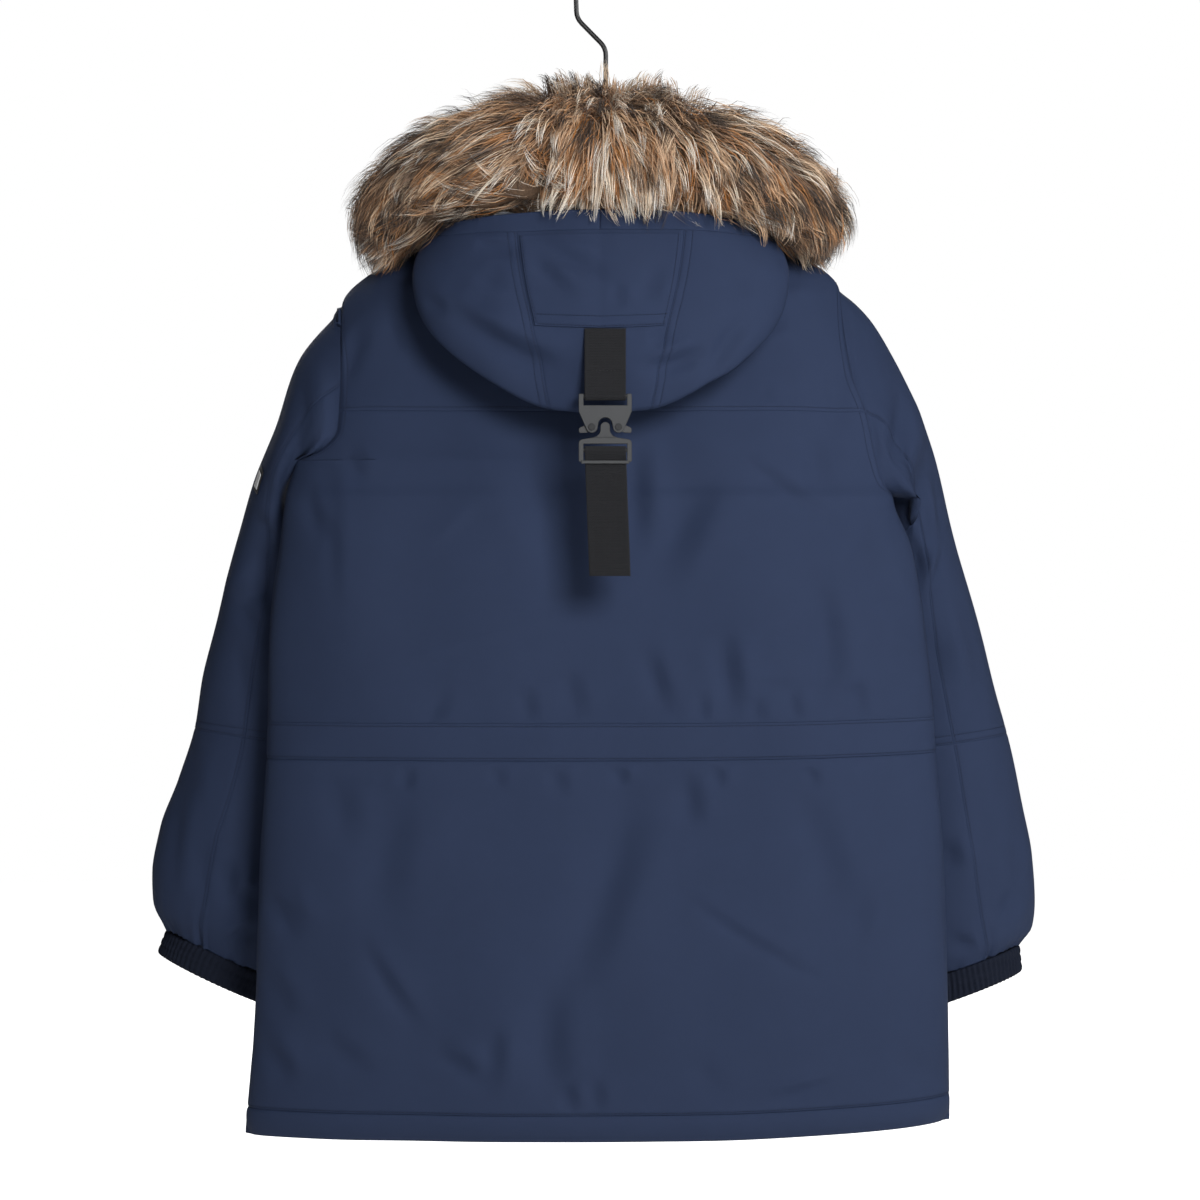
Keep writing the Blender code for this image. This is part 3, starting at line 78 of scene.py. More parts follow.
camera = bpy.data.objects.new("camera", bpy.data.cameras.new("camera"))
camera.data.lens = LENS
camera.data.sensor_width = 36
camera.location = EYE
camera.rotation_euler = (math.pi / 2, 0, math.pi)
scene.collection.objects.link(camera)
scene.camera = camera
scene.view_settings.view_transform = "Standard"
for box in LIGHTS:
    lamp = bpy.data.objects.new(box.name, bpy.data.lights.new(box.name, "AREA"))
    lamp.data.size = box.size
    lamp.data.energy = box.watts
    lamp.location = box.place
    aimed(lamp, (0, 0, -0.6))
    scene.collection.objects.link(lamp)
world = bpy.data.worlds.new("room")
scene.world = world
world.use_nodes = True
nodes = world.node_tree.nodes
room = nodes["Background"]
room.inputs["Color"].default_value = (1, 1, 1, 1)
rays = nodes.new("ShaderNodeLightPath")
level = nodes.new("ShaderNodeMix")
level.inputs[2].default_value = ROOM
level.inputs[3].default_value = 1.0
world.node_tree.links.new(rays.outputs["Is Camera Ray"], level.inputs[0])
world.node_tree.links.new(level.outputs[0], room.inputs["Strength"])


def plain(name, colour, roughness, metallic=0.0, sheen=0.0, coat=0.0, gloss=0.5):
    """A new material with the constants of its Principled shader."""
    made = bpy.data.materials.new(name)
    made.use_nodes = True
    shader = made.node_tree.nodes["Principled BSDF"]
    shader.inputs["Base Color"].default_value = (*colour, 1)
    shader.inputs["Roughness"].default_value = roughness
    shader.inputs["Metallic"].default_value = metallic
    shader.inputs["Sheen Weight"].default_value = sheen
    shader.inputs["Coat Weight"].default_value = coat
    shader.inputs["Specular IOR Level"].default_value = gloss
    shader.inputs["Emission Color"].default_value = (1, 1, 1, 1)
    return made


bpy.ops.mesh.primitive_circle_add(vertices=96, radius=6, fill_type="NGON", location=(0, 0, FLOOR_Z))
floor = bpy.context.object
floor.name = "floor"
paint = plain("floor_paint", (0.93, 0.93, 0.93), 0.9, gloss=0.0)
seen = paint.node_tree.nodes.new("ShaderNodeLightPath")
lift = paint.node_tree.nodes.new("ShaderNodeMath")
lift.operation = "MULTIPLY"
lift.inputs[1].default_value = FLOOR_GLOW
paint.node_tree.links.new(seen.outputs["Is Camera Ray"], lift.inputs[0])
shader = paint.node_tree.nodes["Principled BSDF"]
paint.node_tree.links.new(lift.outputs[0], shader.inputs["Emission Strength"])
floor.data.materials.append(paint)
print("camera", tuple(round(v, 3) for v in camera.location), "lens", LENS, "mm")

# %% [markdown]
# ## Tools for smooth surfaces
# The coat's shape comes from short tables of sizes, read smoothly from one row to the next. Sizes
# are in millimetres in the coat's own frame: x to the wearer's left, y towards the back, z up.

# %% Tools for smooth surfaces
def rows_of(kind, *rows):
    """A table of named columns from its rows of numbers."""
    return tuple(kind(*row) for row in rows)


def curve_piece(t, start, end, leave, arrive):
    """A point at share t of a smooth piece of curve, from its ends and their tangents."""
    back = 1 - t
    point = start * (1 + 2 * t) * back**2 + leave * t * back**2
    return point + end * t * t * (3 - 2 * t) + arrive * t * t * (t - 1)


def smooth(x, xs, ys):
    """A curve through the points (xs, ys), with no overshoot between them."""
    xs = np.asarray(xs, float)
    ys = np.asarray(ys, float)
    slopes = np.diff(ys) / np.diff(xs)
    before, after = slopes[:-1], slopes[1:]
    inner = np.where(before * after > 0, 2 * before * after / (before + after + 1e-12), 0.0)
    tangents = np.concatenate([slopes[:1], inner, slopes[-1:]])
    x = np.clip(np.asarray(x, float), xs[0], xs[-1])
    k = np.clip(np.searchsorted(xs, x, side="right") - 1, 0, len(xs) - 2)
    step = xs[k + 1] - xs[k]
    t = (x - xs[k]) / step
    return curve_piece(t, ys[k], ys[k + 1], tangents[k] * step, tangents[k + 1] * step)


def column(table, key, name, at):
    """One named column of a table, read smoothly at places along its key column."""
    rows = sorted(table, key=lambda row: getattr(row, key))
    return smooth(at, [getattr(r, key) for r in rows], [getattr(r, name) for r in rows])


def ease(t):
    t = np.clip(t, 0, 1)
    return t * t * (3 - 2 * t)


def unit(v):
    return v / np.maximum(np.linalg.norm(v, axis=-1, keepdims=True), 1e-9)


def runs(points, axis):
    """Length along a grid's rows (axis 1) or columns (axis 0), from its first line."""
    steps = np.linalg.norm(np.diff(points, axis=axis), axis=-1)
    start = np.zeros_like(np.take(steps, [0], axis=axis))
    return np.concatenate([start, np.cumsum(steps, axis=axis)], axis=axis)

# %% [markdown]
# ## The body's surface
# The body is one smooth surface in two faces. u runs from the right seam (-1) to the left seam (1),
# and q from the hem (0) over the yoke seam (1) to the neckline and the shoulder line (2). The
# tables are the frame's own: each level gives the reach to both sides and the depth of back and
# front.

# %% The body's surface
WALL = 4.0  # shell, filling and lining together
SEAM_GAP = 0.3
HEM_Z = -1120.0
BAND_Z = -1094.0
CASING_LOW_Z = -761.0
CASING_TOP_Z = -726.0
YOKE_Z = -432.0
ROUNDNESS = 2.3  # exponent of the oval that a level cut through the torso makes
SHOULDER_ROUND = 70.0  # how far below the shoulder line the torso reaches its full depth
NECK_HALF = 95.0
NECK_BACK = 60.0
NECK_FRONT = 60.0
NECK_Y = 3.0
NECK_U = 0.3  # share of a half row that ends on the neckline
ZIP_HALF = 9.0  # half of the space between the two fronts
Level = namedtuple("Level", "z left right side_y back front")
TORSO = rows_of(
    Level,
    (-1120, 340, 335, 8, 76, 68), (-1060, 334, 334, 9, 78, 70), (-960, 328, 332, 11, 78, 72),
    (-870, 326, 329, 12, 77, 72), (-760, 319, 321, 14, 74, 70), (-726, 318, 319, 15, 73, 70),
    (-650, 316, 312, 17, 74, 72), (-605, 313, 306, 18, 74, 72), (-558, 306, 296, 19, 73, 71),
    (-516, 300, 280, 20, 72, 69), (-478, 289, 277, 20, 71, 67), (-430, 283, 274, 17, 70, 64),
    (-380, 277, 267, 10, 68, 61), (-330, 272, 262, 3, 66, 60),
)  # fmt: skip
Armhole = namedtuple("Armhole", "z left right")
ARMHOLE = rows_of(
    Armhole,
    (-520, 400, 400), (-512, 400, 286), (-500, 400, 270), (-478, 289, 263), (-466, 262, 260),
    (-450, 249, 257), (-430, 247, 252), (-398, 246, 240), (-345, 247, 231), (-314, 248, 229),
)  # fmt: skip
UNDERARM_Z = {"left": -478.0, "right": -512.0}
ARMHOLE_LEVELS = (-512.0, -495.0, -478.0, -463.0, -448.0)  # rows below the yoke that armholes use
YOKE_STEPS = 4
Ridge = namedtuple("Ridge", "x z")
SHOULDER = rows_of(
    Ridge,
    (0, -238), (60, -242), (95, -250), (150, -268), (190, -285), (224, -309), (250, -331),
)  # fmt: skip
Lift = namedtuple("Lift", "z right")
HEM_LIFT = (Lift(-1120, 13), Lift(-760, 6), Lift(-600, 0), Lift(-240, 0))
ROUND_ROW = 1.75  # above this row a shoulder rounds over to its seam
ROUND_OVER = (1.0, 1.3, 0.3)


def by_side(table, key, u, at):
    """A column pair left and right, chosen by the side that u is on."""
    return np.where(u >= 0, column(table, key, "left", at), column(table, key, "right", at))


def ridge_z(x):
    return column(SHOULDER, "x", "z", np.abs(x))


def shoulder_cover(x, z):
    """From 0 on the shoulder line to 1 where the torso has its full depth."""
    t = np.clip((ridge_z(x) - z) / SHOULDER_ROUND, 0, 1)
    return np.sqrt(1 - (1 - t) ** 2)


def torso_y(face, x, z):
    """Y of the torso's back (face 1) or front (face -1) at a place seen from behind."""
    half = by_side(TORSO, "z", x, z)
    flat = np.clip(np.abs(x) / half, 0, 1)
    across = (1 - flat**ROUNDNESS) ** (1 / ROUNDNESS)
    depth = column(TORSO, "z", "back" if face > 0 else "front", z)
    return column(TORSO, "z", "side_y", z) + face * depth * across * shoulder_cover(x, z)


def top_edge(face, u):
    """X and Z of the upper edge: the neckline in the middle, the shoulder line beside it."""
    across = np.abs(u)
    tip = np.where(u >= 0, ARMHOLE[-1].left, ARMHOLE[-1].right)
    neck_x = NECK_HALF * np.sin(np.minimum(across / NECK_U, 1) * math.pi / 2)
    shoulder_x = NECK_HALF + (tip - NECK_HALF) * (across - NECK_U) / (1 - NECK_U)
    x = np.where(across < NECK_U, neck_x, shoulder_x)
    reach = NECK_BACK if face > 0 else NECK_FRONT
    full = np.maximum(np.abs(torso_y(face, x, -320.0) - NECK_Y), 1)
    share = np.clip(reach * np.sqrt(np.clip(1 - (x / NECK_HALF) ** 2, 0, 1)) / full, 0, 0.97)
    z = ridge_z(x) - SHOULDER_ROUND * (1 - np.sqrt(1 - share**2))
    return np.sign(u) * x, z


def torso(face, u, q):
    """Outer surface: u -1 (right seam) to 1 (left seam), q 0 hem, 1 yoke seam, 2 upper edge."""
    u, q = np.broadcast_arrays(np.asarray(u, float), np.asarray(q, float))
    z = HEM_Z + (YOKE_Z - HEM_Z) * np.minimum(q, 1)
    half = by_side(TORSO, "z", u, z)
    arm = np.minimum(by_side(ARMHOLE, "z", u, z), half)
    swing = np.arcsin(np.clip(arm / half, 0, 1) ** (ROUNDNESS / 2))
    x = np.sign(u) * half * np.sin(np.abs(u) * swing) ** (2 / ROUNDNESS)
    rise = np.clip(q - 1, 0, 1)
    edge_x, edge_z = top_edge(face, u)
    z = np.where(q > 1, z + rise * (edge_z - YOKE_Z), z)
    seam = by_side(ARMHOLE, "z", u, z)
    straight = by_side(ARMHOLE, "z", u, YOKE_Z) * (1 - rise) + np.abs(edge_x) * rise
    bend = np.where(q > 1, np.abs(u) ** 6 * (seam - straight) * np.sign(u), 0)
    x = x + rise * (edge_x - x) + bend
    y = torso_y(face, x, z)
    lift = column(HEM_LIFT, "z", "right", z) * ease(-u)
    return np.stack([x, y, z + lift], -1)


def body(face, u, q):
    """The torso surface, whose shoulders round over to their seam above the last row."""
    u, q = np.broadcast_arrays(np.asarray(u, float), np.asarray(q, float))
    shape = torso(face, u, q)
    low, edge = torso(face, u, ROUND_ROW), torso(face, u, 2.0)
    span = 2.0 - ROUND_ROW
    start = (low - torso(face, u, ROUND_ROW - 0.01)) / 0.01 * span
    end = (edge - low) * ROUND_OVER
    s = np.clip((q - ROUND_ROW) / span, 0, 1)[..., None]
    arc = curve_piece(s, low, edge, start, end)
    share = ease((np.abs(u) - NECK_U) / 0.15) * (q > ROUND_ROW)
    return shape + (arc - shape) * share[..., None]


def torso_beyond(face, u, q):
    """The torso surface, going on over the side seams and the shoulder line to the other face."""
    u, q = np.broadcast_arrays(np.asarray(u, float), np.asarray(q, float))
    level = HEM_Z + (YOKE_Z - HEM_Z) * np.clip(q, 0, 1)
    under = np.where(u >= 0, UNDERARM_Z["left"], UNDERARM_Z["right"])
    over_side = (np.abs(u) > 1) & (level <= under)
    over_top = (q > 2) & (np.abs(u) >= NECK_U - 1e-6)
    inner_u = np.where(np.abs(u) > 1, np.sign(u) * (2 - np.abs(u)), u)
    inner_u = np.where((np.abs(u) > 1) & ~over_side, np.clip(u, -1, 1), inner_u)
    inner_q = np.where(over_top, 4 - q, np.clip(q, 0, 2))
    here = body(face, inner_u, inner_q)
    there = body(-face, inner_u, inner_q)
    return np.where((over_side ^ over_top)[..., None], there, here)


def torso_normal(face, u, q):
    step = 1e-3
    across = torso_beyond(face, u + step, q) - torso_beyond(face, u - step, q)
    up = torso_beyond(face, u, q + step) - torso_beyond(face, u, q - step)
    return unit(np.cross(up, across)) * face


def bisected(holds, low, high, steps=40):
    """Where a test starts to hold between low, where it doesn't, and high, where it does."""
    for _ in range(steps):
        middle = (low + high) / 2
        passed = holds(middle)
        high = np.where(passed, middle, high)
        low = np.where(passed, low, middle)
    return high


def row_of(z):
    return (z - HEM_Z) / (YOKE_Z - HEM_Z)


def upper_rows():
    """The torso rows on which the armholes have their points, from the lower underarm upwards."""
    below = [row_of(z) for z in ARMHOLE_LEVELS]
    return np.concatenate([below, np.linspace(1, 2, YOKE_STEPS + 1)])


def armhole_rows(side):
    rows = upper_rows()
    return rows[rows > row_of(UNDERARM_Z[side]) - 1e-6]

# %% [markdown]
# ## Folds
# Cloth that hangs is never smooth. Broad folds fall from where it is held and run out into flat
# cloth, and short sharp ones sit where a seam gathers it. They could be simulated, but then they
# would fall anywhere. Here each fold is one row of a table: where it starts and ends as seen from
# behind, how far its middle bows aside, its width, its depth and the side of its ridge. That gives
# a soft trough with a ridge beside it, or a lone ridge where the depth is negative. A slow drift,
# made of a few long waves, keeps the cloth between the folds uneven.

# %% Folds
Fold = namedtuple("Fold", "on x0 z0 x1 z1 bow width depth ridge")

def folds(on, *rows):
    """The folds of one part of the coat, or of all its parts."""
    return [Fold(on, *row) for row in rows]


RIDGE_SHARE = 0.55  # height of the ridge beside a trough, against its depth
RIDGE_AT = 1.55  # its place, in widths from the middle of the trough
DEEPER = 1.65  # how much deeper all folds are than their rows say, on cloth as soft as this
FADE = 0.45  # share of a fold's length over which each end runs out
WIDER = 1.45  # how much wider all folds are than their rows say
WAVES = 9
DRIFT = 0.55
draws = np.random.default_rng(11)
WAVE_LENGTHS = draws.uniform(95, 260, WAVES)
WAVE_WAYS = unit(draws.normal(size=(WAVES, 3)) * (1.4, 0.8, 0.7))
WAVE_RUNS = WAVE_WAYS * (2 * math.pi / WAVE_LENGTHS)[:, None]
WAVE_STARTS = draws.uniform(0, 2 * math.pi, WAVES)


def drift(points):
    """The slow unevenness of the cloth, in mm along its normal."""
    return DRIFT * np.sin(points @ WAVE_RUNS.T + WAVE_STARTS).sum(-1)


def fold_height(table, on, x, z):
    """Height in mm that the folds of one piece give at places seen from behind."""
    height = np.zeros(x.shape)
    for fold in table:
        if fold.on not in ("all", on):
            continue
        run_x, run_z = fold.x1 - fold.x0, fold.z1 - fold.z0
        length = math.hypot(run_x, run_z)
        t = ((x - fold.x0) * run_x + (z - fold.z0) * run_z) / length**2
        aside = (-(x - fold.x0) * run_z + (z - fold.z0) * run_x) / length
        s = (aside - fold.bow * 4 * t * (1 - t)) / (fold.width * WIDER)
        shape = RIDGE_SHARE * np.exp(-((s - fold.ridge * RIDGE_AT) ** 2)) - np.exp(-(s**2))
        height += fold.depth * shape * ease(t / FADE) * ease((1 - t) / FADE)
    return height * DEEPER

# %% [markdown]
# ## Shells of cloth
# Every piece of cloth is one closed shell: an outer skin with its folds, an inner skin a wall's
# thickness behind it, and a rim between them. The inner skin takes every second line of the outer
# one, which halves the faces where nobody looks. Near a seam the outer skin dips, as cloth does
# where it is turned under and sewn, and each row of topstitches pulls a small groove, so the lines
# of the grid lie closer there. A UV map named grain holds the distances along the thread in metres,
# and keeps the weave at its true size on every piece.

# %% Shells of cloth
CLOSE = (0.0, 0.6, 1.3, 2.2, 3.3, 4.8, 6.6, 7.8, 8.6, 9.4, 10.8)  # mm from a sewn edge
PLAIN_CLOSE = (0.0, 1.2, 3.0)
ROLL = 0.38
DEEP_ROLL = 1.1
ROLL_REACH = 3.6
GROOVE = 0.25
OPEN_SEAM = 0.04  # mm by which each sewn edge stands back from the seam
GROOVE_HALF = 1.3
COARSE = 1.0
stitch_lines = []


def spaced(curve, low, high, step, first=True, last=True):
    """Parameters from low to high whose points on a curve are a step apart, closer at sewn ends."""
    dense = np.linspace(low, high, 1501)
    run = runs(curve(dense)[:, None], 0)[:, 0]
    head = np.array(CLOSE if first else PLAIN_CLOSE)
    tail = np.array(CLOSE if last else PLAIN_CLOSE)
    room = run[-1] - head[-1] - tail[-1]
    if room < step:
        share = np.linspace(0, 1, 2 * max(2, int(run[-1] / step / 2)) + 1)
        return np.interp(share * run[-1], run, dense)
    spans = max(2, int(round(room / (step * COARSE))))
    spans += (len(head) + len(tail) + spans - 1 + 1) % 2
    middle = head[-1] + room * np.arange(1, spans) / spans
    return np.interp(np.concatenate([head, middle, (run[-1] - tail)[::-1]]), run, dense)


def row_places(surface, col, low, high, step, *sewn_ends):
    """Rows from low to high that lie a step apart on a surface, measured down one column."""
    return spaced(lambda q: surface(q, np.full(q.shape, col)), low, high, step, *sewn_ends)


def col_places(surface, row, low, high, step, *sewn_ends):
    """Columns from low to high that lie a step apart on a surface, measured along one row."""
    return spaced(lambda u: surface(np.full(u.shape, row), u), low, high, step, *sewn_ends)


def with_normals(surface, rows, cols):
    """Points and normals of a surface. Seen from outside, columns run left and rows down."""
    row_more = np.concatenate([[2 * rows[0] - rows[1]], rows, [2 * rows[-1] - rows[-2]]])
    col_more = np.concatenate([[2 * cols[0] - cols[1]], cols, [2 * cols[-1] - cols[-2]]])
    points = surface(*np.meshgrid(row_more, col_more, indexing="ij"))
    across = points[1:-1, 2:] - points[1:-1, :-2]
    down = points[2:, 1:-1] - points[:-2, 1:-1]
    return points[1:-1, 1:-1], unit(np.cross(across, down))


def reaches(points):
    """Distance of each point of a grid from its four edges, along the surface."""
    down, across = runs(points, 0), runs(points, 1)
    return {"top": down, "low": down[-1:] - down, "first": across, "last": across[:, -1:] - across}


EDGES = {"top": np.s_[0], "low": np.s_[-1], "first": np.s_[:, 0], "last": np.s_[:, -1]}
NEXT = {"top": np.s_[1], "low": np.s_[-2], "first": np.s_[:, 1], "last": np.s_[:, -2]}


def sewn(points, normals, sides, rows=(), deep=()):
    """The grid with its sewn edges drawn back and rolled, and its stitches pulled in."""
    points = points.copy()
    reach = reaches(points)
    rolls = {side: DEEP_ROLL if side in deep else ROLL for side in sides}
    falls = {side: (1 - np.clip(reach[side] / ROLL_REACH, 0, 1)) ** 2 for side in sides}
    drop = sum(roll * falls[side] for side, roll in rolls.items())
    for side, distance in rows:
        drop = drop + GROOVE * np.exp(-(((reach[side] - distance) / GROOVE_HALF) ** 2))
    inward = {side: unit(points[NEXT[side]] - points[EDGES[side]]) for side in sides}
    for side in sides:
        points[EDGES[side]] += inward[side] * OPEN_SEAM
    points -= normals * np.minimum(drop, max(rolls.values(), default=ROLL))[..., None]
    for side, distance in rows:
        stitch_lines.append(line_at(points, normals, reach[side], side, distance))
    return points


def line_at(points, normals, reach, side, distance):
    """Points and normals along a grid at a distance from one of its edges."""
    if side in ("first", "last"):
        points, normals, reach = points.swapaxes(0, 1), normals.swapaxes(0, 1), reach.T
    both = np.concatenate([points, normals], -1)
    found = []
    for k in range(points.shape[1]):
        order = np.argsort(reach[:, k])
        found.append([np.interp(distance, reach[order, k], both[order, k, i]) for i in range(6)])
    return np.array(found)


def mesh_piece(name, points, faces, finish, body="coat", grain=None):
    """A mesh object in metres from points in mm, riding on a body and with its finish."""
    mesh = bpy.data.meshes.new(name)
    mesh.from_pydata(((points + np.array([CENTRE_X, 0.0, 0.0])) * MM).tolist(), [], faces)
    if grain is not None:
        layer = mesh.uv_layers.new(name="grain")
        index = np.empty(len(mesh.loops), np.int32)
        mesh.loops.foreach_get("vertex_index", index)
        layer.uv.foreach_set("vector", grain[index].astype(np.float32).ravel())
    mesh.shade_smooth()
    mesh.materials.append(finish)
    obj = bpy.data.objects.new(name, mesh)
    scene.collection.objects.link(obj)
    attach(obj, body)
    return obj


def grid_faces(rows, cols, spans):
    """Four-sided faces of a grid. Its last column meets the first where spans is cols."""
    i, j = np.meshgrid(np.arange(rows - 1), np.arange(spans), indexing="ij")
    a, b = i * cols + j, i * cols + (j + 1) % cols
    return np.stack([a, b, b + cols, a + cols], -1).reshape(-1, 4).tolist()


def shell_faces(rows, cols, around):
    """Faces of a closed shell: outer grid, inner grid of every second line, and the rim between."""
    spans = cols if around else cols - 1
    faces = grid_faces(rows, cols, spans)
    few = cols // 2 if around else (cols + 1) // 2
    skin = rows * cols
    i, j = np.meshgrid(np.arange((rows - 1) // 2), np.arange(spans // 2), indexing="ij")
    a, b = skin + i * few + j, skin + i * few + (j + 1) % few
    faces += np.stack([a, a + few, b + few, b], -1).reshape(-1, 4).tolist()
    if around:
        loops = [[(0, k) for k in range(cols)], [(rows - 1, -k % cols) for k in range(cols)]]
    else:
        loop = [(0, k) for k in range(cols - 1)] + [(k, cols - 1) for k in range(rows - 1)]
        loop += [(rows - 1, k) for k in range(cols - 1, 0, -1)]
        loop += [(k, 0) for k in range(rows - 1, 0, -1)]
        loops = [loop]
    for loop in loops:
        outer = [r * cols + c for r, c in loop]
        inner = [skin + (r // 2) * few + c // 2 for r, c in loop[::2]]
        for k in range(0, len(loop), 2):
            o0, o1, o2 = outer[k], outer[k + 1], outer[(k + 2) % len(outer)]
            n0, n1 = inner[k // 2], inner[(k // 2 + 1) % len(inner)]
            faces += [[o1, o0, n0], [o1, n0, n1], [o2, o1, n1]]
    return faces


def outward(points, faces):
    """The faces, turned so that the volume inside them is positive."""
    fans = np.array([(f[0], f[k], f[k + 1]) for f in faces for k in range(1, len(f) - 1)])
    a, b, c = (points[fans[:, k]] for k in range(3))
    if np.einsum("ij,ij->", a, np.cross(b, c)) > 0:
        return faces
    return [face[::-1] for face in faces]


def shell(name, outer, inner, finish, around=False):
    """A closed cloth piece from two grids of one shape. Around, it closes into a tube."""
    rows, cols = outer.shape[:2]
    points = np.concatenate([outer.reshape(-1, 3), inner[::2, ::2].reshape(-1, 3)])
    grain = np.stack([runs(outer, 1), -runs(outer, 0)], -1) * MM
    grain = np.concatenate([grain.reshape(-1, 2), grain[::2, ::2].reshape(-1, 2)])
    faces = outward(points, shell_faces(rows, cols, around))
    obj = mesh_piece(name + "_cloth", points, faces, finish, grain=grain)
    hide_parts(name)
    return obj


def spanned(name, surface, rows, cols, finish, sides, stitched=(), deep=(), wall=WALL):
    """A cut piece of cloth on a surface, as its object and its outer grid."""
    points, normals = with_normals(surface, rows, cols)
    outer = sewn(points, normals, sides, stitched, deep)
    obj = shell(name, outer, outer - normals * wall, finish)
    return obj, outer

# %% [markdown]
# ## Stitches
# A stitch is a short piece of thread that lies in the groove it has pulled, thick in the middle and
# gone at both ends. Drawn as bump it would vanish from the exported shape, so each one is a tiny
# closed form of sixteen faces. The lines that the shells keep say where they run and which way is
# out. One mesh takes all the stitches of one part of the coat.

# %% Stitches
STITCH_PITCH = 3.4
STITCH_LENGTH = 2.7
STITCH_HALF = 0.34
STITCH_RISE = 0.34
STITCH_SINK = 0.25
BODY_SHARE = 0.3  # of its length, from the middle to where a stitch starts to taper


def sew(name, finish):
    """One mesh of all the stitches along the lines kept so far, which are then forgotten."""
    points, count = [], 0
    for line in stitch_lines:
        run = runs(line[:, None, :3], 0)[:, 0]
        at = np.arange(STITCH_PITCH / 2, run[-1] - STITCH_PITCH / 2, STITCH_PITCH * COARSE)
        here = np.stack([np.interp(at, run, line[:, k]) for k in range(6)], -1)
        ahead = np.stack([np.interp(at + 0.5, run, line[:, k]) for k in range(3)], -1)
        along = unit(ahead - here[:, :3])
        out = unit(here[:, 3:])
        aside = np.cross(along, out)
        middle = here[:, :3] + out * STITCH_RISE / 2
        rings = []
        for share in (-BODY_SHARE, BODY_SHARE):
            centre = middle + along * share * STITCH_LENGTH
            for across, up in ((-1, 0), (0, 1), (1, 0), (0, -1)):
                lift = up * (STITCH_RISE if up > 0 else STITCH_SINK)
                rings.append(centre + aside * across * STITCH_HALF + out * lift)
        for share in (-0.5, 0.5):
            rings.append(middle + along * share * STITCH_LENGTH - out * STITCH_SINK)
        points.append(np.stack(rings, 1).reshape(-1, 3))
        count += len(at)
    stitch_lines.clear()
    one = []
    for k in range(4):
        j = (k + 1) % 4
        one += [[k, j, j + 4], [k, j + 4, k + 4], [j, k, 8], [k + 4, j + 4, 9]]
    faces = (np.array(one)[None] + 10 * np.arange(count)[:, None, None]).reshape(-1, 3).tolist()
    points = np.concatenate(points)
    sample = [[v % 10 for v in f] for f in faces[:16]]
    if outward(points[:10], sample) is not sample:
        faces = [face[::-1] for face in faces]
    obj = mesh_piece(name, points, faces, finish)
    print(name, count, "stitches,", len(faces), "faces")
    return obj

# %% [markdown]
# ## Weave and wear
# Two effects serve more than one finish, so each is a shader node group that is built once. Weave
# draws the threads of a plain cloth: two rows of soft waves, warp and weft, whose tops alternate.
# It is read from the grain map, in metres, so the threads are as fine on the cuff as on the back.
# Wear is a slow cloudiness of colour and polish, from noise in the object's own space. A third,
# pucker, gives the tiny wrinkles that stay in a pressed nylon. All of them put out values only; the
# shader stays in each material, where the constant numbers of its sheen and coat are set on its own
# sockets.

# %% Weave and wear
def new_group(name, inputs, outputs):
    """An empty node group with named sockets: (name, type, default) for its inputs."""
    group = bpy.data.node_groups.new(name, "ShaderNodeTree")
    for title, kind, default in inputs:
        socket = group.interface.new_socket(title, in_out="INPUT", socket_type=kind)
        if default is not None:
            socket.default_value = default
    for title, kind in outputs:
        group.interface.new_socket(title, in_out="OUTPUT", socket_type=kind)
    return group, group.nodes.new("NodeGroupInput"), group.nodes.new("NodeGroupOutput")


def calc(tree, operation, *values):
    """A maths node on sockets or plain numbers, giving its output socket."""
    node = tree.nodes.new("ShaderNodeMath")
    node.operation = operation
    for k, value in enumerate(values):
        if isinstance(value, (int, float)):
            node.inputs[k].default_value = value
        else:
            tree.links.new(value, node.inputs[k])
    return node.outputs[0]


def noise(tree, place, scale, detail=2.0, rough=0.5):
    node = tree.nodes.new("ShaderNodeTexNoise")
    node.inputs["Scale"].default_value = scale
    node.inputs["Detail"].default_value = detail
    node.inputs["Roughness"].default_value = rough
    tree.links.new(place, node.inputs["Vector"])
    return node.outputs["Fac"]


FLOAT, VECTOR = "NodeSocketFloat", "NodeSocketVector"

weave_group, entry, exit_ = new_group(
    "weave",
    [("Grain", VECTOR, None), ("Threads per metre", FLOAT, 2200.0)],
    [("Height", FLOAT), ("Shade", FLOAT)],
)
split = weave_group.nodes.new("ShaderNodeSeparateXYZ")
weave_group.links.new(entry.outputs["Grain"], split.inputs[0])
turns = [calc(weave_group, "MULTIPLY", split.outputs[k], entry.outputs[1]) for k in (0, 1)]
turns = [calc(weave_group, "MULTIPLY", turn, math.pi) for turn in turns]
warp, weft = [calc(weave_group, "ABSOLUTE", calc(weave_group, "SINE", turn)) for turn in turns]
phase = calc(weave_group, "MULTIPLY", *[calc(weave_group, "COSINE", turn) for turn in turns])
over = calc(weave_group, "MULTIPLY_ADD", calc(weave_group, "SIGN", phase), 0.5, 0.5)
under = calc(weave_group, "SUBTRACT", 1.0, over)
shown = [calc(weave_group, "MULTIPLY", *pair) for pair in ((warp, over), (weft, under))]
high = calc(weave_group, "ADD", *shown)
weave_group.links.new(high, exit_.inputs["Height"])
shade = calc(weave_group, "MULTIPLY_ADD", high, 0.22, 0.84)
weave_group.links.new(shade, exit_.inputs["Shade"])

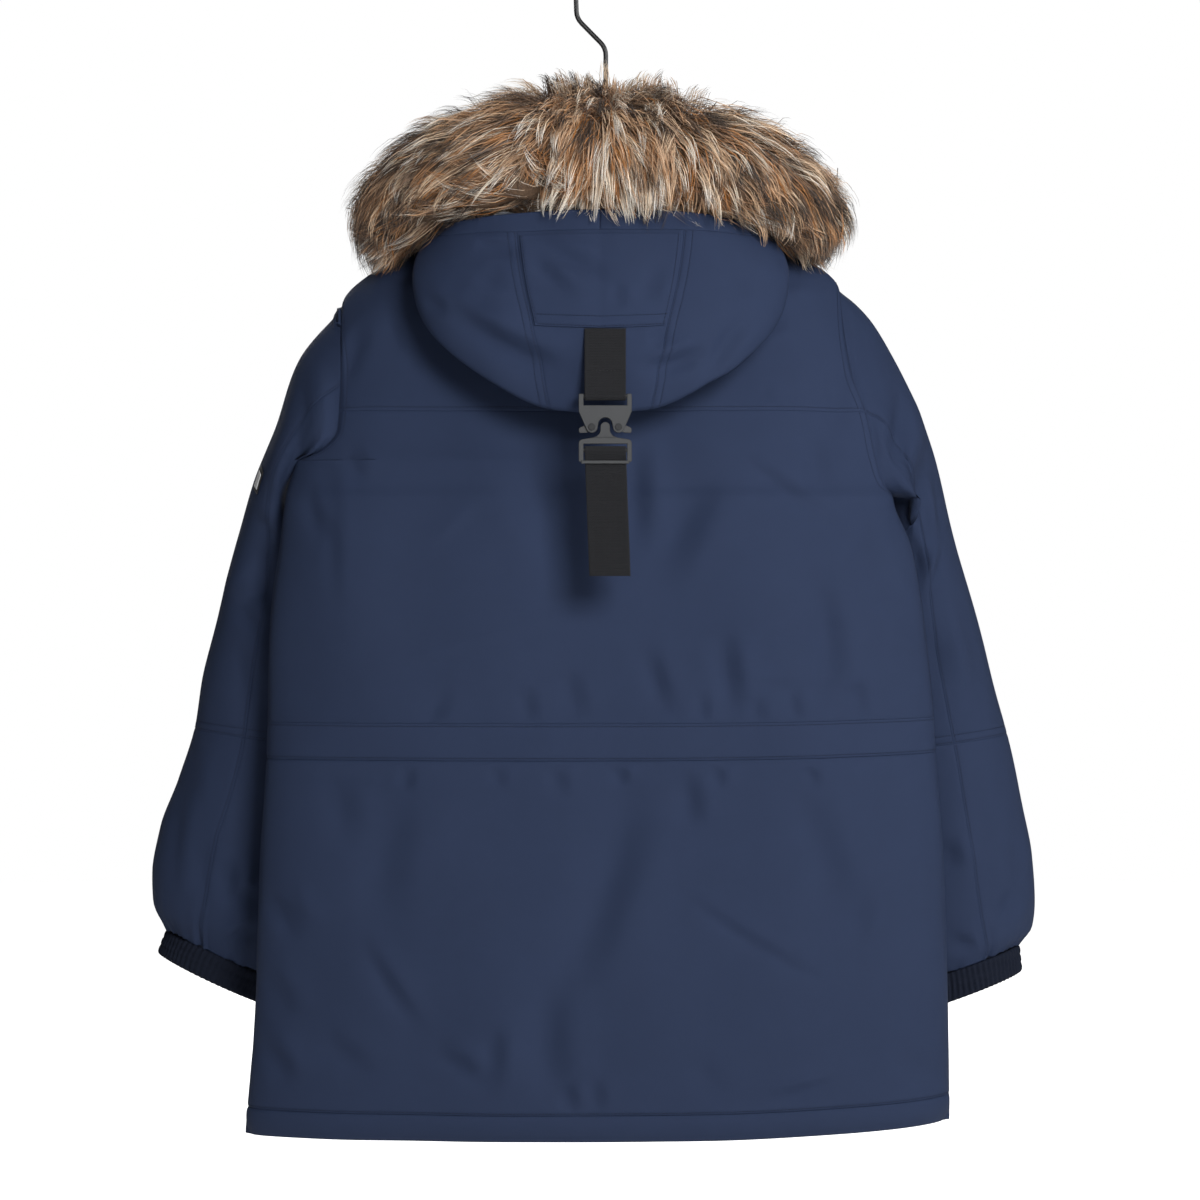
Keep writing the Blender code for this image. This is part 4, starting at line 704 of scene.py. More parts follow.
wear_group, entry, exit_ = new_group(
    "wear",
    [("Place", VECTOR, None), ("Amount", FLOAT, 0.1)],
    [("Shade", FLOAT), ("Polish", FLOAT)],
)
for title, scales in (("Shade", (7.0, 55.0)), ("Polish", (16.0, 170.0))):
    broad, fine = [noise(wear_group, entry.outputs["Place"], scale, 3.0) for scale in scales]
    both = calc(wear_group, "MULTIPLY_ADD", fine, 0.4, calc(wear_group, "MULTIPLY", broad, 0.6))
    swing = calc(wear_group, "MULTIPLY", calc(wear_group, "SUBTRACT", both, 0.5), 2.0)
    value = calc(wear_group, "MULTIPLY_ADD", swing, entry.outputs["Amount"], 1.0)
    wear_group.links.new(value, exit_.inputs[title])

pucker_group, entry, exit_ = new_group(
    "pucker", [("Place", VECTOR, None)], [("Height", FLOAT)]
)
stretch = pucker_group.nodes.new("ShaderNodeMapping")
stretch.inputs["Scale"].default_value = (1.0, 1.0, 0.45)
pucker_group.links.new(entry.outputs["Place"], stretch.inputs["Vector"])
coarse = noise(pucker_group, stretch.outputs[0], 38.0, 3.0, 0.55)
small = noise(pucker_group, stretch.outputs[0], 240.0, 2.0)
wrinkles = calc(pucker_group, "MULTIPLY_ADD", small, 0.12, coarse)
pucker_group.links.new(wrinkles, exit_.inputs["Height"])
print("groups:", [group.name for group in bpy.data.node_groups])

# %% [markdown]
# ## Finishes
# Each finish is a small recipe on one pattern: a base colour that wear makes cloudy, a roughness
# that wear polishes, and a height for the bump. Cloth adds the weave and the pucker. Sheen stays
# low: the shell is a closely woven nylon with a dull face.

# %% Finishes
def placed_group(made, group, **inputs):
    node = made.node_tree.nodes.new("ShaderNodeGroup")
    node.node_tree = group
    for title, value in inputs.items():
        socket = node.inputs[title.replace("_", " ")]
        if isinstance(value, (int, float)):
            socket.default_value = value
        else:
            made.node_tree.links.new(value, socket)
    return node


def feed(made, title, value):
    """Links a value to a socket of the material's shader."""
    tree = made.node_tree
    tree.links.new(value, tree.nodes["Principled BSDF"].inputs[title])


def object_place(made):
    return made.node_tree.nodes.new("ShaderNodeTexCoord").outputs["Object"]


def grain_place(made):
    node = made.node_tree.nodes.new("ShaderNodeUVMap")
    node.uv_map = "grain"
    return node.outputs["UV"]


def tint(made, colour, *shades):
    """The base colour multiplied by one or two shades, linked to the shader."""
    tree = made.node_tree
    value = shades[0] if len(shades) == 1 else calc(tree, "MULTIPLY", *shades)
    scale = tree.nodes.new("ShaderNodeVectorMath")
    scale.operation = "SCALE"
    scale.inputs[0].default_value = colour
    tree.links.new(value, scale.inputs["Scale"])
    feed(made, "Base Color", scale.outputs[0])


def bump(made, height, distance, normal=None):
    """A bump of a height in metres on the shader, over another one where given."""
    tree = made.node_tree
    node = tree.nodes.new("ShaderNodeBump")
    node.inputs["Distance"].default_value = distance
    tree.links.new(height, node.inputs["Height"])
    if normal is not None:
        tree.links.new(normal, node.inputs["Normal"])
    feed(made, "Normal", node.outputs[0])
    return node.outputs[0]


def polished(made, roughness, polish):
    feed(made, "Roughness", calc(made.node_tree, "MULTIPLY", polish, roughness))


def cloth_finish(name, colour, roughness, threads, sheen, depth=0.0001, pucker=0.0004, wear=0.1):
    """A woven cloth: threads per metre, their depth in metres and how much it puckers."""
    made = plain(name, colour, roughness, sheen=sheen, gloss=0.12)
    weave = placed_group(made, weave_group, Grain=grain_place(made), Threads_per_metre=threads)
    cloudy = placed_group(made, wear_group, Place=object_place(made), Amount=wear)
    tint(made, colour, weave.outputs["Shade"], cloudy.outputs["Shade"])
    polished(made, roughness, cloudy.outputs["Polish"])
    small = placed_group(made, pucker_group, Place=object_place(made))
    wrinkled = bump(made, small.outputs["Height"], pucker)
    bump(made, weave.outputs["Height"], depth, wrinkled)
    return made


def hard_finish(
    name, colour, roughness, metallic=0.0, coat=0.0, grit=0.00005, scale=900.0, wear=0.15
):
    """Cast metal, moulded plastic or lacquer: wear on its colour and polish, and a fine grit."""
    made = plain(name, colour, roughness, metallic, coat=coat)
    place = object_place(made)
    cloudy = placed_group(made, wear_group, Place=place, Amount=wear)
    tint(made, colour, cloudy.outputs["Shade"])
    polished(made, roughness, cloudy.outputs["Polish"])
    bump(made, noise(made.node_tree, place, scale, 2.0), grit)
    return made


NAVY = (0.0245, 0.0375, 0.081)
cloth = cloth_finish("shell_cloth_woven", NAVY, 0.66, 2200, 0.0)
rib_cloth = cloth_finish("cuff_cloth", (0.010, 0.0135, 0.026), 0.8, 1500, 0.0, 0.0002)
thread = cloth_finish("navy_thread", (0.019, 0.026, 0.054), 0.6, 4000, 0.0)
tape_cloth = cloth_finish("zip_tape_woven", (0.016, 0.021, 0.040), 0.8, 1300, 0.03, 0.0002)
webbing = cloth_finish("webbing_ribbed", (0.0165, 0.017, 0.0195), 0.62, 900, 0.05, 0.0004, 0.0001)
buckle_metal = hard_finish("buckle_matte", (0.036, 0.038, 0.041), 0.52, 0.2)
lever_metal = hard_finish("lever_bare", (0.042, 0.043, 0.046), 0.5, 0.3)
rivet_metal = hard_finish("rivet_dark", (0.022, 0.023, 0.025), 0.4, 0.5)
zip_metal = hard_finish("zip_matte", (0.05, 0.052, 0.06), 0.38, 0.6)
tooth_plastic = hard_finish("tooth_moulded", (0.020, 0.026, 0.048), 0.4, grit=0.00002)
badge_rubber = hard_finish("badge_moulded", (0.012, 0.012, 0.014), 0.5)
badge_field = hard_finish("badge_pale_field", (0.70, 0.70, 0.70), 0.55)
strap_thread = cloth_finish("strap_thread", (0.020, 0.021, 0.024), 0.6, 4000, 0.1)
hanger_plastic = hard_finish(
    "hanger_moulded", (0.012, 0.012, 0.013), 0.42, grit=0.00008, scale=500.0
)
wire_lacquer = hard_finish("wire_lacquered", (0.008, 0.008, 0.009), 0.3, coat=0.3, grit=0.00002)
wool = hard_finish("fur_wool", (0.110, 0.064, 0.036), 0.9, grit=0.002, scale=220.0, wear=0.6)
fur_hair = plain("fur_hair", (0.4, 0.3, 0.2), 0.5, sheen=0.15)
hair_colour = fur_hair.node_tree.nodes.new("ShaderNodeVertexColor")
hair_colour.layer_name = "hair"
hair_wear = placed_group(fur_hair, wear_group, Place=object_place(fur_hair), Amount=0.25)
hair_tint = fur_hair.node_tree.nodes.new("ShaderNodeVectorMath")
hair_tint.operation = "SCALE"
fur_hair.node_tree.links.new(hair_colour.outputs["Color"], hair_tint.inputs[0])
fur_hair.node_tree.links.new(hair_wear.outputs["Shade"], hair_tint.inputs["Scale"])
feed(fur_hair, "Base Color", hair_tint.outputs[0])
polished(fur_hair, 0.5, hair_wear.outputs["Polish"])
KEPT = {
    "buckle_receiver": buckle_metal, "buckle_tongue": buckle_metal,
    "buckle_lever_left": lever_metal, "buckle_lever_right": lever_metal,
    "buckle_rivet_left": rivet_metal, "buckle_rivet_right": rivet_metal,
    "zip_slider": zip_metal, "zip_pull_tab": zip_metal,
    "hanger_body": hanger_plastic, "hanger_hook": wire_lacquer,
}  # fmt: skip
for node, finish in KEPT.items():
    for slot in bpy.data.objects[node].material_slots:
        slot.material = finish
print("finishes:", len(bpy.data.materials), "- kept solids:", len(KEPT))

# %% [markdown]
# ## The body's folds
# The back hangs from the shoulders and from the hood, whose strap draws a soft hollow on each side
# of itself. The waist casing gathers the cloth a little, so short folds start at both of its seams,
# and long shallow ones cross the skirt. The fronts hang from the same shoulders: they get folds of
# the same kind, in other places.

# %% The body's folds
BACK_FOLDS = (
    *folds(
        "all",
        (98, -433, 24, -600, -6, 15, 3.4, 1), (-30, -440, -34, -582, 0, 9, 3.2, -1),
        (-112, -476, -46, -598, 1, 12, 3.0, -1), (-120, -468, -228, -542, 3, 6, 1.7, -1),
        (-192, -440, -212, -520, 0, 8, 1.6, -1), (232, -689, 23, -627, 5, 5, 0.8, -1),
        (-85, -654, -248, -629, 3, 5, 0.7, 1), (-85, -681, -305, -702, 3, 5, 0.7, -1),
        (-60, -874, -238, -983, 6, 4.5, 1.6, -1), (-62, -874, -150, -853, 2, 5, -0.7, 1),
        (230, -925, 163, -1024, 2, 6, 2.0, -1), (164, -1031, 99, -1072, -2, 7, 2.0, -1),
        (322, -880, 284, -938, 0, 7, 2.6, -1), (303, -874, 272, -928, 2, 6, 1.7, -1),
        (326, -954, 288, -1012, 0, 8, 1.6, -1), (257, -450, 248, -636, 0, 6, 1.0, -1),
        (279, -499, 258, -563, 2, 7, 1.8, -1), (242, -464, 218, -502, 2, 7, 1.4, -1),
        (169, -566, 105, -507, 0, 6, -0.9, 1), (-263, -602, -304, -648, 0, 7, 1.4, -1),
        (-226, -536, -273, -602, 0, 9, 1.4, -1), (-262, -654, -308, -670, 0, 6, 1.1, -1),
        (-226, -366, -200, -508, -5, 10, 1.6, -1),
    ),
    *folds(
        "panel",
        (-190, -575, -197, -727, -20, 10, 3.2, -1), (-36, -642, -66, -729, 0, 7, 2.4, -1),
        (-96, -692, -94, -729, 0, 5, 1.4, -1), (-114, -626, -126, -729, 2, 8, 3.0, -1),
        (-145, -696, -147, -729, 0, 5, 1.4, -1), (-177, -689, -183, -729, 0, 5, 1.8, -1),
        (-239, -676, -245, -729, 0, 6, 1.8, -1), (72, -689, 67, -729, 0, 6, 1.3, -1),
        (33, -670, 20, -729, 0, 7, 1.5, -1), (137, -689, 167, -729, 0, 6, 1.3, -1),
    ),
    *folds(
        "skirt",
        (-32, -764, 44, -990, -11, 15, 4.4, -1), (38, -950, 40, -1092, 13, 13, 3.6, -1),
        (-79, -764, -86, -832, 0, 8, 2.6, -1), (-174, -764, -236, -944, -5, 13, 2.8, -1),
        (-108, -764, -111, -790, 0, 5, 1.8, -1), (-192, -764, -205, -790, 0, 5, 1.8, -1),
        (-14, -764, -22, -788, 0, 5, 1.7, -1), (98, -764, 94, -790, 0, 5, 1.2, -1),
        (44, -764, 36, -798, 0, 6, 1.4, -1), (176, -764, 187, -790, 0, 5, 1.2, -1),
        (182, -768, 212, -940, 6, 14, 1.8, -1), (257, -766, 234, -850, 0, 10, 1.3, -1),
        (-250, -872, -238, -938, 0, 7, 1.3, -1), (98, -1000, 104, -1080, 0, 7, 2.0, -1),
        (330, -1020, 288, -1078, -2, 8, 2.4, -1), (272, -1016, 207, -1066, 0, 8, 1.4, -1),
        (36, -1060, 24, -1096, 0, 6, 2.0, -1), (8, -1052, 3, -1096, 0, 6, 1.7, -1),
        (-145, -1082, -232, -1061, 2, 5, 2.0, -1), (-284, -1030, -322, -1078, 0, 9, 1.8, -1),
        (-84, -1040, -118, -1082, 0, 9, 1.2, -1),
    ),
    *folds(
        "yoke",
        (219, -343, 238, -410, 4, 6, 1.8, 1), (-149, -354, -180, -342, 1, 5, 1.6, 1),
        (-165, -320, -187, -295, 2, 6, 1.8, 1), (196, -328, 186, -384, 3, 9, 1.2, -1),
    ),
)  # fmt: skip
FRONT_FOLDS = folds(
    "front",
    (96, -300, 60, -520, 10, 16, 3.4, 1), (-92, -310, -48, -560, -9, 15, 3.8, -1),
    (168, -380, 120, -560, -8, 13, 3.0, -1), (-190, -400, -120, -545, 6, 12, 3.2, 1),
    (233, -470, 190, -600, 5, 10, 3.4, -1), (-240, -505, -205, -640, -5, 10, 3.6, 1),
    (40, -600, 85, -860, -9, 20, 3.6, 1), (-55, -640, -110, -900, 8, 18, 4.0, -1),
    (180, -690, 240, -960, -10, 18, 4.6, 1), (-200, -700, -150, -980, 9, 17, 4.2, -1),
    (120, -900, 60, -1085, 7, 16, 3.6, -1), (-90, -930, -40, -1088, -6, 15, 3.4, 1),
    (288, -820, 262, -1050, 5, 12, 3.8, -1), (-292, -800, -250, -1040, -6, 12, 3.6, 1),
    (225, -1030, 180, -1090, 3, 10, 2.4, 1), (-190, -1040, -215, -1090, 2, 9, 2.4, -1),
)  # fmt: skip
Hollow = namedtuple("Hollow", "x z wide tall depth")
HOLLOWS = rows_of(
    Hollow,
    (62, -455, 42, 95, 6.0), (-58, -450, 34, 90, 7.0), (8, -560, 55, 75, 4.0),
    (8, -700, 120, 60, -2.0), (-120, -640, 90, 120, -3.0), (150, -620, 90, 120, -3.0),
)  # fmt: skip
HEM_TUCK = 6.0  # mm by which the hem's lower edge rolls in
HEM_BULGE = 1.2
UNDER_HOOD = (175.0, -440.0)  # half width and lower end of what the hood covers
MOST_UNDER_HOOD = 0.6


def back_height(on, x, z, points):
    """Height of the back's cloth over the smooth body, in mm."""
    height = fold_height(BACK_FOLDS, on, x, z) + drift(points)
    for hollow in HOLLOWS:
        far = ((x - hollow.x) / hollow.wide) ** 2 + ((z - hollow.z) / hollow.tall) ** 2
        height -= hollow.depth * np.exp(-far)
    covered = ease((z - UNDER_HOOD[1]) / 20) * ease((UNDER_HOOD[0] - np.abs(x)) / 20)
    return np.where(covered > 0, np.minimum(height, MOST_UNDER_HOOD + (1 - covered) * 6), height)


def body_surface(face, on, zip_side=0):
    """Points of the body at row q and column u, with folds. On a front, u runs from zip to side."""

    def surface(q, u):
        u = front_column(q, u) * zip_side if zip_side else u
        points = torso_beyond(face, u, q)
        x, z = points[..., 0], points[..., 2]
        if face > 0:
            height = back_height(on, x, z, points)
        else:
            height = fold_height(FRONT_FOLDS, on, x, z) + drift(points)
            height *= ease((np.abs(x) - ZIP_HALF) / 30)
        if on == "hem_band":
            up = np.clip(q / row_of(BAND_Z), 0, 1)
            height = height - HEM_TUCK * (1 - up) ** 2 + HEM_BULGE * np.sin(math.pi * up)
        held = ease((1.0 - np.abs(u)) / 0.05) * ease((2.0 - q) / 0.08)
        return points + torso_normal(face, u, q) * (height * held)[..., None]

    return surface


ZIP_STOPS = np.linspace(0.0, 2.0, 801)


def column_beside_zip(x_at, stops, near, far):
    """The column of each row, between near the zip and far from it, where the zip's edge lies."""
    def beside(column_at):
        return x_at(column_at, stops) >= ZIP_HALF + SEAM_GAP / 2

    return bisected(beside, np.full(stops.shape, near), np.full(stops.shape, far), 30)


FRONT_ZIP = column_beside_zip(lambda u, q: torso(-1, u, q)[..., 0], ZIP_STOPS, 0.0, 0.25)


def front_column(q, share):
    """The column of the body at a share of the way from the zip (0) to the side (1)."""
    edge = np.interp(q, ZIP_STOPS, FRONT_ZIP)
    return edge + (1 - edge) * share

# %% [markdown]
# ## The body's pieces
# Five pieces make the back and two make each front, sewn edge to edge with a hair's breadth between
# them as the maker cut them. Two rows of stitches run beside the armholes, and one beside each of
# the seams that cross the back.

# %% The body's pieces
BACK_STEP = 4.4
FRONT_STEP = 6.0
DOUBLE = (1.9, 8.6)  # mm from a seam to each of its two rows of stitches
ZIP_ROW = 7.0  # and from the zip to its one row
ROWS_AT = 0.55  # the column down which the rows of the body's pieces are spaced
ARM_ROWS = tuple((edge, distance) for edge in ("first", "last") for distance in DOUBLE)
BACK_ROWS = {
    "yoke": (1.0, 2.0, (("low", 3.6), *ARM_ROWS)),
    "panel": (row_of(CASING_TOP_Z), 1.0, ARM_ROWS),
    "waist_casing": (row_of(CASING_LOW_Z), row_of(CASING_TOP_Z), (("top", 2.6), ("low", 2.6))),
    "skirt": (row_of(BAND_Z), row_of(CASING_LOW_Z), (("low", 2.2),)),
    "hem_band": (0.0, row_of(BAND_Z), ()),
}
ALL_SIDES = ("top", "low", "first", "last")
DEEP_SIDES = {"waist_casing": ("low",), "skirt": ("top", "low"), "hem_band": ("top",)}
sheets = {}


def note_sheet(name, obj, outer):
    """Keeps a piece and the size of its cloth, in metres, for the cutting list."""
    across, down = runs(outer, 1)[:, -1], runs(outer, 0)[-1]
    sheets[name] = (obj, across.max() * MM, down.max() * MM, across.mean() * down.mean() * MM * MM)
    print(name, [round(v, 3) for v in sheets[name][1:]], len(obj.data.polygons), "faces")


for part, (low, high, rows) in BACK_ROWS.items():
    name = "back_" + part
    surface = body_surface(1, part)
    across = col_places(surface, (low + min(high, 1.0)) / 2, -1, 1, BACK_STEP)
    down = row_places(surface, ROWS_AT, high, low, BACK_STEP)
    deep = DEEP_SIDES.get(part, ())
    note_sheet(name, *spanned(name, surface, down, across, cloth, ALL_SIDES, rows, deep))
for side, sign in (("left", 1), ("right", -1)):
    surface = body_surface(-1, "front", sign)
    ends = (1, 0) if side == "left" else (0, 1)
    zip_last = side == "left"
    sides = ("top", "low", "first" if zip_last else "last")
    arm = [(sides[2], distance) for distance in DOUBLE]
    arm.append(("last" if zip_last else "first", ZIP_ROW))
    across = col_places(surface, 0.5, *ends, FRONT_STEP, zip_last, not zip_last)
    for name, high, low, rows in (
        ("front_" + side, 2.0, row_of(BAND_Z), [("low", 2.2), *arm]),
        ("front_hem_band_" + side, row_of(BAND_Z), 0.0, ()),
    ):
        surface = body_surface(-1, "hem_band" if "band" in name else "front", sign)
        down = row_places(surface, ROWS_AT, high, low, FRONT_STEP)
        note_sheet(name, *spanned(name, surface, down, across, cloth, sides, rows))
sew("body_stitches", thread)

# %% [markdown]
# ## The sleeves' surface
# A sleeve is a tube of slanted oval rings. Its first ring is the armhole itself, so it leaves the
# body where the body ends, and it is kept clear of the body's side on the way down. Columns count
# round it: 0 on the outer side, then over the back. The two long seams swing forward as they run
# down.

# %% The sleeves' surface
Ring = namedtuple("Ring", "outer_x outer_z inner_x inner_z y depth")
LEFT_SLEEVE = rows_of(
    Ring,
    (248, -330, 289, -478, 18, 42), (287, -381, 303, -484, 6, 50), (309, -441, 306, -508, -18, 52),
    (337, -498, 296, -545, -46, 54), (353, -551, 280, -590, -62, 57),
    (372, -623, 268, -650, -72, 60), (391, -688, 263, -708, -80, 61),
    (398, -736, 262, -754, -84, 61), (414, -785, 262, -808, -87, 62),
    (434, -832, 263, -864, -90, 63), (442, -875, 267, -918, -92, 63),
    (440, -905, 281, -955, -93, 58), (427, -932, 304, -984, -94, 46),
)  # fmt: skip
RIGHT_SLEEVE = rows_of(
    Ring,
    (229, -314, 286, -512, 18, 44), (258, -341, 286, -518, 4, 48), (298, -405, 290, -546, -24, 52),
    (321, -460, 284, -568, -50, 55), (341, -533, 282, -600, -62, 57),
    (360, -599, 272, -650, -72, 60), (384, -685, 265, -710, -80, 61),
    (400, -741, 262, -760, -84, 61), (413, -797, 262, -822, -87, 62),
    (425, -859, 264, -890, -91, 62), (427, -906, 272, -940, -93, 60),
    (425, -931, 284, -966, -94, 55), (414, -947, 298, -985, -94, 46),
)  # fmt: skip
LEFT_CUFF = rows_of(
    Ring,
    (426, -933, 305, -986, -94, 44), (432, -945, 311, -999, -95, 43),
    (436, -957, 317, -1012, -96, 42),
)  # fmt: skip
RIGHT_CUFF = rows_of(
    Ring,
    (413, -949, 299, -987, -94, 44), (415, -962, 300, -1002, -95, 43),
    (416, -975, 301, -1017, -96, 42),
)  # fmt: skip
ELBOW_RING = 7
SLEEVE_SEAM = {"left": 3, "right": 4}  # column of the back seam, counted from the outer side
CUFF_WALL = 3.5
SEAM_SWING = (16.0, -9.0)  # degrees by which that seam leaves its column, at shoulder and cuff
SLEEVE_CLEARANCE = 3.0
MOST_SCALE = 60.0  # the furthest that a point inside the torso is moved, against its distance
BESIDE_Z = -430.0  # below it the sleeve is kept beside the torso, fully so from BESIDE_FADE on
BESIDE_FADE = 40.0


def clear_of_torso(points, gap):
    """Moves points that are in the torso, or within the gap of it, out over its side."""
    x, y, z = np.moveaxis(points, -1, 0)
    half = by_side(TORSO, "z", x, z) + gap
    side_y = column(TORSO, "z", "side_y", z)
    back = column(TORSO, "z", "back", z) + gap
    front = column(TORSO, "z", "front", z) + gap
    hub = np.sign(x) * (half - front)
    run_x = x - hub
    run_y = y - side_y

    def outside(scale):
        far_x = np.abs(hub + run_x * scale) / half
        far_y = np.abs(run_y * scale) / np.where(run_y > 0, back, front)
        return far_x**ROUNDNESS + far_y**ROUNDNESS >= 1

    high = bisected(outside, np.ones(x.shape), np.full(x.shape, MOST_SCALE))
    scale = np.where(outside(np.ones(x.shape)), 1.0, high)
    return np.stack([hub + run_x * scale, side_y + run_y * scale, z], -1)


def ring_points(table, t, angle):
    """Points of the oval rings of a sleeve or cuff: t counts rings, angle 0 is the outer side."""
    t, angle = np.broadcast_arrays(np.asarray(t, float), np.asarray(angle, float))
    stops = np.arange(len(table))
    at = {name: smooth(t, stops, [getattr(r, name) for r in table]) for name in Ring._fields}
    middle_x = (at["outer_x"] + at["inner_x"]) / 2
    middle_z = (at["outer_z"] + at["inner_z"]) / 2
    cos = np.cos(angle)
    x = middle_x + (at["outer_x"] - at["inner_x"]) / 2 * cos
    z = middle_z + (at["outer_z"] - at["inner_z"]) / 2 * cos
    return np.stack([x, at["y"] + at["depth"] * np.sin(angle), z], -1)


def mirrored(points, side):
    return points if side == "left" else points * np.array([-1.0, 1.0, 1.0])


def armhole(side, c):
    """Points and normals of the body's edge at sleeve column c, from the shoulder over the back."""
    rows = armhole_rows(side)[::-1]
    last = len(rows) - 1
    c = np.mod(c, 2 * last)
    q = smooth(np.where(c <= last, c, 2 * last - c), np.arange(last + 1), rows)
    u = 1.0 if side == "left" else -1.0
    on_back = (c <= last)[..., None]
    points = np.where(on_back, body(1, u, q), body(-1, u, q))
    return points, np.where(on_back, torso_normal(1, u, q), torso_normal(-1, u, q))


def sleeve_count(side):
    return 2 * (len(armhole_rows(side)) - 1)


def bare_sleeve(side, t, c):
    """The smooth sleeve: t counts rings from the armhole, c counts columns round it."""
    table = LEFT_SLEEVE if side == "left" else RIGHT_SLEEVE
    last = len(table) - 1
    t = np.clip(t, 0, last)

    def turned(share):
        angle = c * 2 * math.pi / sleeve_count(side)
        swing = np.radians(SEAM_SWING[0] + (SEAM_SWING[1] - SEAM_SWING[0]) * share)
        return angle + swing * np.sin(angle)

    start = ring_points(table, np.zeros(t.shape), turned(0.0))
    points = ring_points(table, t, turned(t / last))
    blend = 1 - ease(t / 2.5)
    points = points + blend[..., None] * (mirrored(armhole(side, c)[0], side) - start)
    free = clear_of_torso(points, SLEEVE_CLEARANCE)
    held = ease(t / 0.6) * ease((BESIDE_Z - points[..., 2]) / BESIDE_FADE)
    return mirrored(points + held[..., None] * (free - points), side)

# %% [markdown]
# ## The sleeves' folds
# Each sleeve has one table of folds for its back, seen from behind. Its front takes the other
# sleeve's table, mirrored, so that the two sides of a sleeve are alike in kind and differ in place.
# Above the cuff the cloth is gathered: short steep folds of uneven width that fade within a few
# centimetres.

# %% The sleeves' folds
SLEEVE_LEFT_FOLDS = folds(
    "all",
    (287, -372, 304, -522, -10, 9, 4.6, -1), (336, -520, 308, -564, 0, 6, 1.8, -1),
    (321, -536, 320, -628, 5, 9, 4.8, -1), (314, -588, 360, -626, 0, 9, 4.0, 1),
    (360, -622, 320, -637, 0, 7, 2.4, -1), (350, -634, 334, -730, 2, 10, 2.4, -1),
    (363, -852, 354, -912, 2, 8, 4.0, -1), (356, -909, 325, -888, 0, 6, 3.4, -1),
    (369, -950, 329, -924, 0, 5, 3.0, -1), (405, -744, 414, -915, 4, 6, 1.6, -1),
    (394, -740, 401, -824, 0, 6, 1.3, -1), (382, -832, 386, -918, 2, 7, 1.8, -1),
)  # fmt: skip
SLEEVE_RIGHT_FOLDS = folds(
    "all",
    (-286, -384, -269, -514, -8, 7, 4.8, -1), (-313, -482, -325, -560, 0, 3.6, -2.4, -1),
    (-326, -548, -310, -608, 0, 3.6, -2.2, -1), (-300, -552, -307, -592, 0, 6, 3.0, -1),
    (-327, -590, -362, -714, -2, 6, -1.4, -1), (-325, -634, -321, -698, 0, 12, 3.2, -1),
    (-353, -634, -366, -724, 0, 7, 1.4, -1), (-335, -836, -339, -878, 0, 8, 3.0, -1),
    (-404, -816, -410, -916, 0, 6, 1.8, -1), (-399, -888, -387, -930, -4, 6, 2.6, -1),
    (-337, -938, -367, -950, 0, 5, 2.8, -1), (-374, -802, -369, -898, 0, 12, 1.4, 1),
)  # fmt: skip
FACING = 0.55  # a fold has its full depth where the cloth faces back or front by this much
RING_LENGTH = 45.0  # mm from ring to ring near the cuff
GATHER_REACH = 30.0  # mm above the cuff
GATHER_COUNT = 34
GATHER_DEPTH = 1.9
gather_draws = np.random.default_rng(5)
GATHER_PARTS = [
    (count, gather_draws.uniform(0, 2 * math.pi), gather_draws.uniform(0.5, 1.0))
    for count in (GATHER_COUNT, GATHER_COUNT - 9, GATHER_COUNT + 13, 11)
]


def mirror_folds(table):
    return [f._replace(x0=-f.x0, x1=-f.x1, bow=-f.bow, ridge=-f.ridge) for f in table]


SLEEVE_FOLDS = {
    "left": (SLEEVE_LEFT_FOLDS, mirror_folds(SLEEVE_RIGHT_FOLDS)),
    "right": (SLEEVE_RIGHT_FOLDS, mirror_folds(SLEEVE_LEFT_FOLDS)),
}


def sleeve_surface(side):
    """Points of a sleeve at ring t and column c, with folds and gathers."""
    last = len(LEFT_SLEEVE) - 1
    back_folds, front_folds = SLEEVE_FOLDS[side]

    def surface(t, c):
        points = bare_sleeve(side, t, c)
        step = 1e-2
        across = bare_sleeve(side, t, c + step) - bare_sleeve(side, t, c - step)
        along = bare_sleeve(side, t + step, c) - bare_sleeve(side, t - step, c)
        normal = unit(np.cross(across, along)) * (-1 if side == "left" else 1)
        near = ease(1 - t / 0.35)[..., None]
        normal = unit(normal * (1 - near) + armhole(side, c)[1] * near)
        x, z = points[..., 0], points[..., 2]
        height = ease(normal[..., 1] / FACING) * fold_height(back_folds, "sleeve", x, z)
        height += ease(-normal[..., 1] / FACING) * fold_height(front_folds, "sleeve", x, z)
        height = (height + drift(points)) * ease(t / 0.5)
        up = np.clip(last - t, 0, None) * RING_LENGTH
        angle = c * 2 * math.pi / sleeve_count(side)
        gathers = sum(share * np.sin(count * angle + turn) for count, turn, share in GATHER_PARTS)
        height = height + GATHER_DEPTH / 2 * gathers * np.exp(-up / GATHER_REACH)
        return points + normal * height[..., None]

    return surface

# %% [markdown]
# ## The sleeves' pieces
# The maker cuts an outer and an under sleeve, each of two pieces that meet in the elbow seam all
# round. The gathered cuff is a tube of ribs: its elastic pulls the cloth into fine pleats that run
# down to the hem of the cuff and are nipped where the elastic is sewn through.

# %% The sleeves' pieces
SLEEVE_STEP = 5.2
UNDER_STEP = 6.5


